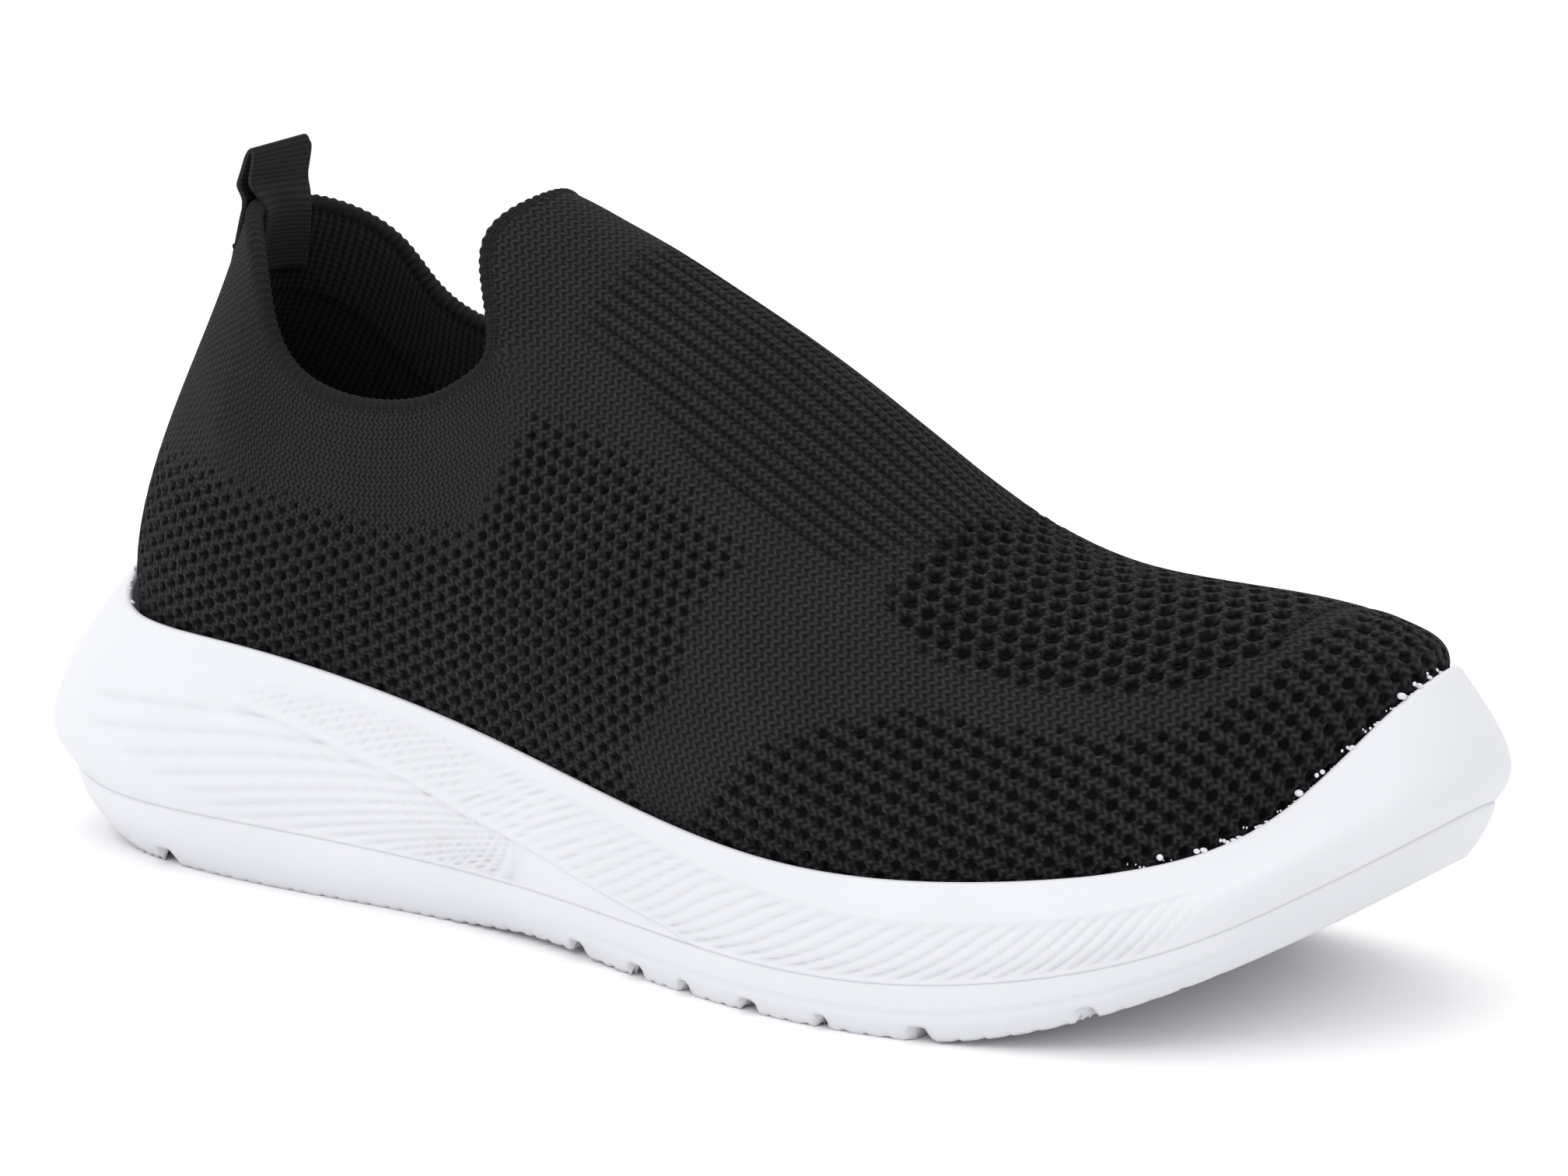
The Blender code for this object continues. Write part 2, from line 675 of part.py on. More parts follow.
def make_pull_tab(upper, finish):
    """The folded webbing loop, standing above the heel on its hinge line."""
    half = TAB_SLOT / 2 + WEBBING
    slot = TAB_SLOT / 2
    loft = Loft()
    outer_rings, inner_rings = [], []
    for y, drop in TAB_ENDS:
        height = TAB_HEIGHT - drop
        outer = arc_outline(half, height, TAB_ARC)
        inner = arc_outline(slot, height - WEBBING, TAB_ARC)
        outer_rings.append(loft.add([(a, y, b) for a, b in outer]))
        inner_rings.append(loft.add([(a, y, b) for a, b in inner]))
    for rings, flip in ((outer_rings, False), (inner_rings, True)):
        for low, high in zip(rings[:-1], rings[1:]):
            loft.band(*((high, low) if flip else (low, high)))
    loft.band(inner_rings[0], outer_rings[0])
    loft.band(outer_rings[-1], inner_rings[-1])
    axis = tab_axis(upper)
    tilt = math.radians(TAB_LEAN)
    c, s = math.cos(tilt), math.sin(tilt)
    turned = [(p[0] * c + p[2] * s, p[1], p[2] * c - p[0] * s) for p in loft.points]
    loft.points = [np.array(p) + axis for p in turned]
    tab = loft.make("pull_tab", finish, sharp=50)
    pivot = place(axis)
    tab.data.transform(Matrix.Translation([-v for v in pivot]))
    tab.location = pivot
    return tab


def arc_outline(half, height, steps):
    """A narrow loop standing on z 0: round at its foot about the hinge line, and round at its top."""
    foot = [(half * math.cos(a), half * math.sin(a))
            for a in np.linspace(math.pi, 2 * math.pi, steps)]
    top_centre = height - half
    top = [(half * math.cos(a), top_centre + half * math.sin(a))
           for a in np.linspace(0, math.pi, steps)]
    return foot + top


def make_bartack(upper, finish):
    """A short dense bar of thread across the anchor's outer leg."""
    spot, out, up = heel_frame(upper, 0)
    thick, width, high = BARTACK
    away = ANCHOR_CLEAR + WEBBING + GAP + thick / 2
    centre = spot + out * away + up * (BARTACK_UP - ANCHOR_OUTER)
    bm = bmesh.new()
    made = bmesh.ops.create_cube(bm, size=1)["verts"]
    bmesh.ops.scale(bm, verts=made, vec=(thick * MM, width * MM, high * MM))
    turn = Vector((-1, 0, 0)).rotation_difference(Vector(out)).to_matrix()
    bmesh.ops.rotate(bm, verts=made, cent=(0, 0, 0), matrix=turn)
    bmesh.ops.translate(bm, verts=made, vec=place(centre))
    mesh = bpy.data.meshes.new("tab_bartack")
    bm.to_mesh(mesh)
    bm.free()
    mesh.materials.append(finish)
    bar = bpy.data.objects.new("tab_bartack", mesh)
    bpy.context.scene.collection.objects.link(bar)
    return bar


def clear_scene():
    for old in list(bpy.data.objects):
        bpy.data.objects.remove(old)


def main():
    clear_scene()
    white_rubber = material("white_rubber", (0.78, 0.78, 0.8), 0.55)
    white_foam = material("white_foam", (0.81, 0.81, 0.84), 0.6)
    black_knit = material("black_knit", (0.018, 0.018, 0.021), 0.85)
    black_lining = material("black_lining", (0.012, 0.012, 0.013), 0.9)
    black_webbing = material("black_webbing", (0.02, 0.021, 0.021), 0.75)
    black_thread = material("black_thread", (0.02, 0.02, 0.022), 0.7)
    grey_board = material("grey_board", (0.35, 0.35, 0.34), 0.9)
    stiffener_sheet = material("stiffener_sheet", (0.6, 0.58, 0.52), 0.5)
    black_foam = material("black_foam", (0.02, 0.02, 0.02), 0.8)

    make_outsole(white_rubber)
    make_midsole(white_foam)
    board = board_inset()
    make_plate("strobel_board", board, GAP, BOARD, grey_board)
    above_board = GAP + BOARD + GAP
    make_plate("insole_foam", board + INSOLE_INSET, above_board, FOAM, black_foam)
    make_plate("insole_cover", board + INSOLE_INSET, above_board + FOAM + GAP, COVER, black_lining)
    make_strobel_stitching(black_thread)

    upper = Upper()
    upper.shell("knit_upper", 0, KNIT, black_knit)
    lining = upper.lining_depth()
    upper.shell("knit_lining", lining, lining + LINING, black_lining)
    behind = KNIT + GAP + STIFFENER_ROOM
    counter = upper.patch(range(-COUNTER_REACH, COUNTER_REACH), COUNTER_ROWS)
    upper.shell("heel_counter", behind, behind + STIFFENER, stiffener_sheet, counter)
    puff = upper.patch(range(TOE - PUFF_REACH, TOE + PUFF_REACH), PUFF_ROWS)
    upper.shell("toe_puff", behind, behind + STIFFENER, stiffener_sheet, puff)
    make_overlock(upper, black_thread)

    make_tab_anchor(upper, black_webbing)
    make_pull_tab(upper, black_webbing)
    make_bartack(upper, black_thread)


if __name__ == "__main__":
    main()
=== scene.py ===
"""The looks of a knitted slip-on running shoe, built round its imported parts."""

import logging
import math
from dataclasses import dataclass, field
from enum import Enum
from typing import Callable, Optional, Sequence

import bmesh
import bpy
import numpy as np
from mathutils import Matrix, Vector


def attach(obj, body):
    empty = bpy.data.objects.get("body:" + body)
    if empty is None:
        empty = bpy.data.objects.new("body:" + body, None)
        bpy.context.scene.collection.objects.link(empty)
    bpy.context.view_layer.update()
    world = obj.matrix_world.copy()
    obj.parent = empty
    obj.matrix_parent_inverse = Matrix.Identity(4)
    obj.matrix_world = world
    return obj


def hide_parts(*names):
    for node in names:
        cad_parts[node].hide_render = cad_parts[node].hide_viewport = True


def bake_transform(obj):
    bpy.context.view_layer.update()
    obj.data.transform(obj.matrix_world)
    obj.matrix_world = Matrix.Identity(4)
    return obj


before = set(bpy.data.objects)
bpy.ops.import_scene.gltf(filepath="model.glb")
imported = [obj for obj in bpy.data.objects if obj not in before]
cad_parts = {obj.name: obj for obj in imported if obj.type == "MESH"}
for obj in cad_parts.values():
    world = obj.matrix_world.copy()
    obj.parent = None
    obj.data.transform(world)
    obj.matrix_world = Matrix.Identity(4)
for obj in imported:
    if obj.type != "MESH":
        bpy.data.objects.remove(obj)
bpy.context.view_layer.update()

log = logging.getLogger("shoe")
Array = np.ndarray
Mesh = bpy.types.Mesh
Socket = bpy.types.NodeSocket
Value = Socket | float | tuple
MM = 0.001
WELD = 1e-6
FULL_TURN = 2 * math.pi
ROOT = "shoe"


def spline(rows: Sequence, at: Array, closed: bool = False) -> Array:
    """Points on the smooth curve through evenly spaced rows.

    Args:
        rows: the values that the curve goes through, one row each.
        at: row numbers, whole or between rows.
        closed: whether the curve joins its start.

    Returns:
        One row of values per entry of at.
    """
    y = np.asarray(rows, float)
    at = np.asarray(at, float)
    if y.ndim == 1:
        return spline(y[:, None], at.reshape(-1), closed)[:, 0].reshape(at.shape)
    count = len(y)
    if closed:
        system = 4 * np.eye(count) + np.roll(np.eye(count), 1, 0) + np.roll(np.eye(count), -1, 0)
        right = 6 * (np.roll(y, -1, 0) - 2 * y + np.roll(y, 1, 0))
        low = np.floor(at).astype(int) % count
        high = (low + 1) % count
    else:
        system = 4 * np.eye(count) + np.eye(count, k=1) + np.eye(count, k=-1)
        system[0] = system[-1] = 0
        system[0, 0] = system[-1, -1] = 1
        right = np.zeros_like(y)
        right[1:-1] = 6 * (y[2:] - 2 * y[1:-1] + y[:-2])
        low = np.clip(np.floor(at).astype(int), 0, count - 2)
        high = low + 1
    bend = np.linalg.solve(system, right)
    after = (at - np.floor(at) if closed else at - low)[:, None]
    before = 1 - after
    return (before * y[low] + after * y[high]
            + ((before**3 - before) * bend[low] + (after**3 - after) * bend[high]) / 6)


def soft_loop(points: Array, count: int) -> Array:
    """A closed smooth curve drawn near its control points.

    Args:
        points: the control points, or any values with one row per control point.
        count: how many rows to return.

    Returns:
        count rows, the first one at the first control point.
    """
    p = np.asarray(points, float)
    at = np.arange(count) * len(p) / count
    low = np.floor(at).astype(int)
    t = (at - low)[:, None]
    a, b, c, d = (p[(low + k) % len(p)] for k in (-1, 0, 1, 2))
    return ((1 - t) ** 3 * a + (3 * t**3 - 6 * t**2 + 4) * b
            + (-3 * t**3 + 3 * t**2 + 3 * t + 1) * c + t**3 * d) / 6


def ease(low: float, high: float, value: Array) -> Array:
    """A smooth step.

    Args:
        low: where the step starts, at 0.
        high: where it ends, at 1.
        value: the values to step.

    Returns:
        Values from 0 to 1.
    """
    t = np.clip((np.asarray(value, float) - low) / (high - low), 0, 1)
    return t * t * (3 - 2 * t)


def unit(rows: Array) -> Array:
    """The same directions, each made 1 long."""
    return rows / np.linalg.norm(rows, axis=1)[:, None]


def through(value: Array, points: Sequence[tuple[float, float]]) -> Array:
    """Straight lines through a few points.

    Args:
        value: where to read the line.
        points: pairs of place and height, in rising order of place.

    Returns:
        The height at each value.
    """
    at, height = np.array(points, float).T
    return np.interp(value, at, height)


@dataclass
class Last:
    """The shoe's basic form: outline, ground line and floor, in millimetres from near the heel.

    Each row of outline holds x, y, the heights of parting line, widest place and rim, and how far
    the tread's bottom and the rim lie inside the outline.
    """

    stations: int = 44
    outline: tuple = (
        (-10.5, -0.5, 17, 23, 56, 14, 20.5), (-4, -19.3, 15.5, 22, 50.5, 12.5, 16.5),
        (19, -34.3, 12.5, 21, 45.5, 9, 8.7), (58, -38, 12, 21, 44, 5, 3),
        (100, -39, 11, 19, 38, 5, 2), (138, -45, 10, 15, 31, 3, 1.5),
        (176, -54, 9, 13, 26, 2, 3), (210, -53, 10, 14, 26, 2, 4),
        (241, -43, 16, 20, 30, 3, 5), (262, -28, 25, 31, 38, 5, 6),
        (276, -9, 33, 39, 52.5, 6.5, 7), (281, 8, 36, 41.5, 58, 8, 8),
        (276, 26, 33, 39, 54, 6.5, 8.5), (259, 40, 25, 29, 40, 4, 7),
        (229, 48, 13, 18, 31, 3, 5), (193, 50, 9, 14, 28, 2, 3),
        (153, 42, 10, 16, 33, 3, 1.5), (113, 35, 11, 20, 42, 5, 2),
        (76, 36, 12, 22, 48, 5, 2), (42, 37, 13, 23, 50, 6, 5),
        (14, 30.5, 14.5, 22, 53, 10, 10.7), (-5.5, 17.2, 17, 23, 55, 13.5, 18),
    )
    spine: tuple = ((37, -1), (233, 3))
    heel_bevel: tuple = (26, 35, 9, 1.8)
    toe_spring: tuple = (205, 75, 30, 1.75)
    arch: tuple = (95, 57, 1.2)
    floor: tuple = (33, 32, 30.5, 28, 24.5, 20.5, 17.5, 17, 22, 33)
    floor_step: float = 30
    middle: tuple = (135.25, -2.409)
    wall_inset: float = 0.35

    def __post_init__(self) -> None:
        """Reads the outline's rows at every station."""
        at = np.arange(self.stations) * len(self.outline) / self.stations
        cut = spline(self.outline, at, closed=True)
        self.plan = cut[:, :2]
        start, end = np.array(self.spine, float)
        run = end - start
        share = np.clip((self.plan - start) @ run / (run @ run), 0, 1)
        self.outward = unit(self.plan - start - share[:, None] * run)
        self.line, self.wide, self.rim, self.bottom_inset, self.rim_inset = cut[:, 2:].T

    def bottom(self, x: Array) -> Array:
        """Height of the tread above the ground at x."""
        x = np.asarray(x, float)
        start, length, rise, power = self.heel_bevel
        heel = rise * np.clip((start - x) / length, 0, None) ** power
        start, length, rise, power = self.toe_spring
        toe = rise * np.clip((x - start) / length, 0, None) ** power
        start, length, rise = self.arch
        return heel + toe + rise * np.sin(np.pi * np.clip((x - start) / length, 0, 1)) ** 2

    def cup_floor(self, x: Array) -> Array:
        """Height of the floor inside the sole at x."""
        row = np.asarray(x, float) / self.floor_step
        return spline(self.floor, np.clip(row, 0, len(self.floor) - 1))

    def ring(self, inset: Array, height: Array | Callable) -> Array:
        """A loop of points inset from the outline.

        Args:
            inset: distance inside the outline, one value or one per station.
            height: one value, one per station, or a function of x.

        Returns:
            One point per station.
        """
        plan = self.plan - self.outward * np.broadcast_to(inset, len(self.plan))[:, None]
        z = height(plan[:, 0]) if callable(height) else np.broadcast_to(height, len(plan))
        return np.c_[plan, z]

    def wall(self, share: float) -> tuple[Array, Array]:
        """A line along the side wall.

        Args:
            share: how far up it runs, 0 at the parting line and 1 at the rim.

        Returns:
            Its inset and its height at each station.
        """
        inset = np.stack([self.bottom_inset * self.wall_inset, self.wide * 0,
                          self.rim_inset * self.wall_inset, self.rim_inset])
        height = np.stack([self.line, self.wide, (self.wide + self.rim) / 2, self.rim])
        at = [share * (len(height) - 1)]
        return spline(inset, at)[0], spline(height, at)[0]

    def place(self, points: Array) -> Array:
        """Millimetres from near the heel to metres in the shoe's frame."""
        return (np.asarray(points, float) - (*self.middle, 0)) * MM


LAST = Last()


class Nodes:
    """A short way to write a procedural material's node tree."""

    def __init__(self, name: str) -> None:
        """Starts a material of that name with its principled shader."""
        self.material = bpy.data.materials.new(name)
        self.material.use_nodes = True
        self.tree = self.material.node_tree
        self.shader = self.tree.nodes["Principled BSDF"]

    def put(self, socket: Socket, value: Value) -> None:
        """Sets a socket to a value, or links it to another socket."""
        if isinstance(value, bpy.types.NodeSocket):
            self.tree.links.new(value, socket)
        elif isinstance(value, tuple) and len(value) == 3 and socket.type == "RGBA":
            socket.default_value = (*value, 1)
        else:
            socket.default_value = value

    def node(self, kind: str, inputs: Optional[dict] = None, **settings) -> bpy.types.Node:
        """Adds a node.

        Args:
            kind: the node's type without its prefix.
            inputs: values or sockets by input name or number.
            settings: the node's own settings.

        Returns:
            The node.
        """
        made = self.tree.nodes.new("ShaderNode" + kind)
        for key, value in settings.items():
            setattr(made, key, value)
        for key, value in (inputs or {}).items():
            self.put(made.inputs[key], value)
        return made

    def math(self, operation: str, *values: Value) -> Socket:
        """A sum on one, two or three numbers or sockets."""
        made = self.node("Math", dict(enumerate(values)), operation=operation)
        return made.outputs[0]

    def mix(self, share: Value, first: Value, second: Value) -> Socket:
        """A colour between two colours."""
        made = self.node("Mix", data_type="RGBA")
        for key, value in ((0, share), (6, first), (7, second)):
            self.put(made.inputs[key], value)
        return made.outputs[2]

    def attribute(self, name: str) -> Socket:
        """The mesh attribute of that name."""
        return self.node("Attribute", attribute_name=name).outputs["Fac"]

    def pattern(self, name: str) -> tuple[Socket, Socket]:
        """The two coordinates of a named pattern map."""
        cut = self.node("SeparateXYZ", {0: self.node("UVMap", uv_map=name).outputs[0]})
        return cut.outputs[0], cut.outputs[1]

    def noise(self, scale: float, detail: float = 3) -> Socket:
        """Smooth noise in object coordinates."""
        vector = self.node("TexCoord").outputs["Object"]
        made = self.node("TexNoise", {"Vector": vector, "Scale": scale, "Detail": detail})
        return made.outputs["Fac"]

    def between(self, value: Value, low: float, high: float, to_low: float, to_high: float) -> Socket:
        """A value moved from the range low to high to another range, with its ends held."""
        made = self.node("MapRange", {0: value, 1: low, 2: high, 3: to_low, 4: to_high})
        return made.outputs[0]

    def bump(self, height: Value, distance: float, strength: float = 1.0) -> Socket:
        """A fine relief for light."""
        made = self.node("Bump", {"Height": height, "Distance": distance, "Strength": strength})
        return made.outputs[0]

    def wave(self, value: Value, pitch: float) -> Socket:
        """A cosine from -1 to 1 that repeats at each pitch."""
        return self.math("COSINE", self.math("MULTIPLY", value, FULL_TURN / pitch))

    def finish(self, **inputs: Value) -> bpy.types.Material:
        """Ends the material.

        Args:
            inputs: the shader's inputs, with spaces in their names as underscores.

        Returns:
            The material.
        """
        for key, value in inputs.items():
            self.put(self.shader.inputs[key.replace("_", " ")], value)
        return self.material


@dataclass(frozen=True)
class YarnFinish:
    """A dyed yarn: colours of its shaded and its lit strands, its sheen and its stitch size."""

    name: str
    dark: tuple
    light: tuple
    wale: float = 1.7
    course: float = 1.4
    sheen: float = 0.02
    relief: float = 0.4
    # colour of the painted shade in the knit's openings, rib grooves and toe crease
    shade: tuple = (0.0035, 0.0035, 0.004)

    def stitches(self, n: Nodes, u: Socket, v: Socket) -> Socket:
        """The height of rows of V stitches.

        Args:
            n: the material's nodes.
            u: place along a row.
            v: place across the rows.

        Returns:
            A socket, highest where the yarn stands out.
        """
        across = n.math("FRACT", n.math("DIVIDE", v, self.wale))
        side = n.math("MULTIPLY", n.math("ABSOLUTE", n.math("SUBTRACT", across, 0.5)), 2.0)
        run = n.math("ADD", n.math("DIVIDE", u, self.course), n.math("MULTIPLY", side, 0.55))
        wave = n.wave(run, 1)
        gap = n.math("MULTIPLY", n.between(side, 0.75, 1.0, 0, 1), 0.5)
        centre = n.math("MULTIPLY", n.between(side, 0.0, 0.2, 1, 0), 0.35)
        return n.math("SUBTRACT", n.math("SUBTRACT", n.between(wave, -1, 1, 0, 1), gap), centre)

    def make(self) -> bpy.types.Material:
        """The knit's material: V stitches, with painted shade in the lows between strands and in the
        openings, rib grooves and toe crease.
        """
        n = Nodes(self.name)
        collar = n.attribute("collar")
        body = n.math("MULTIPLY", self.stitches(n, *n.pattern("pattern")),
                      n.math("SUBTRACT", 1.0, collar))
        height = n.math("ADD", body, n.math("MULTIPLY", self.stitches(n, *n.pattern("edge")), collar))
        rough = n.noise(900, 4)
        cloud = n.noise(45, 3)
        height = n.math("ADD", height, n.math("MULTIPLY", rough, 0.5))
        # painted light and shade: raised strands take the light colour, the lows and gaps between them
        # take the dark
        tone = n.between(height, -0.2, 1.3, 0, 1)
        tone = n.math("MULTIPLY", tone, n.between(cloud, 0.3, 0.7, 0.85, 1.1))
        colour = n.mix(tone, self.dark, self.light)
        # painted shade: openings, rib grooves and the toe crease are darkened towards the shade colour
        colour = n.mix(n.attribute("painted_knit_shade"), colour, self.shade)
        normal = n.bump(height, self.relief * MM, 1.0)
        return n.finish(Base_Color=colour, Roughness=0.9, Normal=normal, Sheen_Weight=self.sheen,
                        Sheen_Roughness=0.5, Specular_IOR_Level=0.08)


@dataclass(frozen=True)
class FoamFinish:
    """A moulded white skin with a very fine grain."""

    name: str
    colour: tuple
    roughness: float = 0.5
    grain: float = 0.02

    def make(self) -> bpy.types.Material:
        """The moulded sole's material, with painted shade in its grooves and along its seam."""
        n = Nodes(self.name)
        fine = n.noise(1800, 3)
        cloud = n.noise(25, 3)
        shade = tuple(c * 0.93 for c in self.colour)
        colour = n.mix(n.between(cloud, 0.35, 0.7, 0, 0.5), self.colour, shade)
        # painted shade: the colour is darkened in grooves and along the parting-line seam, weighted by
        # the mesh's per-point shade values
        painted_shade = tuple(c * 0.72 for c in self.colour)
        colour = n.mix(n.attribute("painted_shade"), colour, painted_shade)
        normal = n.bump(fine, self.grain * MM, 0.6)
        return n.finish(Base_Color=colour, Roughness=self.roughness, Normal=normal,
                        Specular_IOR_Level=0.35)


@dataclass(frozen=True)
class ClothFinish:
    """A plain dark cloth, webbing or thread with fine lines."""

    name: str
    dark: tuple
    light: tuple
    pitch: float = 1.0
    cross: float = 0.6
    relief: float = 0.15
    sheen: float = 0.02

    def make(self) -> bpy.types.Material:
        """The cloth's material: fine lines along and across its pattern, with painted shade in their
        lows.
        """
        n = Nodes(self.name)
        u, v = n.pattern("pattern")
        lines = n.between(n.wave(u, self.pitch), -1, 1, 0, 1)
        weft = n.between(n.wave(v, self.cross), -1, 1, 0, 1)
        height = n.math("ADD", n.math("MULTIPLY", lines, 0.65), n.math("MULTIPLY", weft, 0.35))
        height = n.math("ADD", height, n.math("MULTIPLY", n.noise(1200, 4), 0.5))
        # partly the weave's own lines, partly painted shade: the lows of the lines take the dark colour,
        # the raised threads the light
        colour = n.mix(n.between(height, 0.2, 1.3, 0, 1), self.dark, self.light)
        normal = n.bump(height, self.relief * MM, 0.8)
        return n.finish(Base_Color=colour, Roughness=0.85, Normal=normal, Sheen_Weight=self.sheen,
                        Sheen_Roughness=0.5, Specular_IOR_Level=0.08)


class Finish(Enum):
    """The finishes of the shoe."""

    KNIT = YarnFinish("knit_yarn", (0.0012, 0.0012, 0.0015), (0.03, 0.031, 0.0335))
    FOAM = FoamFinish("sole_foam", (0.70, 0.708, 0.745))
    TREAD = FoamFinish("tread_rubber", (0.69, 0.698, 0.735), 0.45)
    LINING = ClothFinish("ribbed_lining", (0.004, 0.004, 0.004), (0.022, 0.022, 0.023), 1.6, 1.2)
    FOOTBED = ClothFinish("footbed_cloth", (0.008, 0.008, 0.008), (0.022, 0.022, 0.022), 0.9, 0.9)
    WEBBING = ClothFinish("tab_webbing", (0.008, 0.008, 0.008), (0.026, 0.0265, 0.027), 0.9, 0.7)
    THREAD = ClothFinish("edge_thread", (0.003, 0.003, 0.0035), (0.02, 0.0204, 0.022), 0.5, 0.5)

    @property
    def material(self) -> bpy.types.Material:
        """The finish's material, made once."""
        return bpy.data.materials.get(self.value.name) or self.value.make()


def read(parts: Sequence, name: str, width: int, kind: type = np.float32) -> Array:
    """One property of all corners, points or faces of a mesh.

    Args:
        parts: the mesh's collection, such as its vertices.
        name: the property's name.
        width: how many numbers each part has.
        kind: the type of number.

    Returns:
        One row per part, or a plain list of values where width is 1.
    """
    found = np.empty(len(parts) * width, kind)
    parts.foreach_get(name, found)
    return found.reshape(-1, width) if width > 1 else found


def write(parts: Sequence, name: str, values: Array) -> None:
    """Sets one property of all corners or points of a mesh."""
    parts.foreach_set(name, np.asarray(values, np.float32).reshape(-1))


def put_attribute(mesh: Mesh, name: str, values: Array) -> None:
    """Writes one number per point of a mesh."""
    write(mesh.attributes.new(name, "FLOAT", "POINT").data, "value", values)


def read_points(mesh: Mesh) -> Array:
    """The points of a mesh, one row each."""
    return read(mesh.vertices, "co", 3).astype(float)


def read_normals(mesh: Mesh) -> Array:
    """The smooth normal at each point of a mesh."""
    return read(mesh.vertex_normals, "vector", 3).astype(float)


def read_corners(mesh: Mesh) -> Array:
    """The number of the point at each face corner of a mesh."""
    return read(mesh.loops, "vertex_index", 1, np.int32)


def read_pattern(mesh: Mesh, name: str) -> Array:
    """A pattern map's coordinates, one row per point."""
    found = np.zeros((len(mesh.vertices), 2))
    found[read_corners(mesh)] = read(mesh.uv_layers[name].data, "uv", 2)
    return found


def add_object(name: str, data: bpy.types.ID) -> bpy.types.Object:
    """Puts a new object with this mesh, lamp or camera in the scene."""
    made = bpy.data.objects.new(name, data)
    bpy.context.scene.collection.objects.link(made)
    return made


def to_mesh(bm: bmesh.types.BMesh, name: str) -> Mesh:
    """A new mesh from an edited one, which is freed."""
    mesh = bpy.data.meshes.new(name)
    bm.to_mesh(mesh)
    bm.free()
    return mesh


def close_ends(mesh: Mesh) -> None:
    """Fills the open ends of a tube."""
    bm = bmesh.new()
    bm.from_mesh(mesh)
    bmesh.ops.holes_fill(bm, edges=[e for e in bm.edges if e.is_boundary], sides=0)
    bmesh.ops.recalc_face_normals(bm, faces=bm.faces)
    bm.to_mesh(mesh)
    bm.free()


class Piece:
    """One visible piece: a mesh, its finish, and what it stands for."""

    def __init__(self, name: str, mesh: Mesh, finish: Finish) -> None:
        """Puts the mesh in the scene.

        Args:
            name: the piece's name.
            mesh: its mesh.
            finish: the finish it gets.
        """
        mesh.name = name
        mesh.materials.clear()
        mesh.materials.append(finish.material)
        mesh.shade_smooth()
        self.shape = add_object(name, mesh)
        log.info("%s: %d faces", name, len(mesh.polygons))

    def stands_for(self, slot: str, *nodes: str, body: Optional[str] = ROOT) -> "Piece":
        """Hides the CAD nodes that the piece replaces and hangs it on its body.

        Args:
            slot: not used.
            nodes: the CAD nodes that it replaces.
            body: the body that it rides on, or None to hang it on none.

        Returns:
            The piece itself.
        """
        if nodes:
            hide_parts(*nodes)
        if body:
            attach(self.shape, body)
        return self


def bent_grid(name: str, points: Array, pattern: Array) -> Mesh:
    """A mesh from a grid bent so that its corners lie on an array of points.

    Args:
        name: the mesh's name.
        points: metres, as columns x rows x 3. The last column joins the first.
        pattern: the pattern map in millimetres, as (columns + 1) x rows x 2.

    Returns:
        The mesh, with coinciding corners welded.
    """
    points = np.concatenate([points, points[:1]])
    columns, rows = points.shape[0] - 1, points.shape[1] - 1
    bm = bmesh.new()
    bm.loops.layers.uv.new("pattern")
    bmesh.ops.create_grid(bm, x_segments=columns, y_segments=rows, size=0.5, calc_uvs=True)
    mesh = to_mesh(bm, name)
    flat = read_points(mesh)
    i = np.rint((flat[:, 0] + 0.5) * columns).astype(int)
    j = np.rint((flat[:, 1] + 0.5) * rows).astype(int)
    write(mesh.vertices, "co", points[i, j])
    write(mesh.uv_layers["pattern"].data, "uv", pattern[i, j][read_corners(mesh)])
    bm = bmesh.new()
    bm.from_mesh(mesh)
    bmesh.ops.remove_doubles(bm, verts=bm.verts, dist=WELD)
    bmesh.ops.recalc_face_normals(bm, faces=bm.faces)
    bm.to_mesh(mesh)
    bm.free()
    return mesh


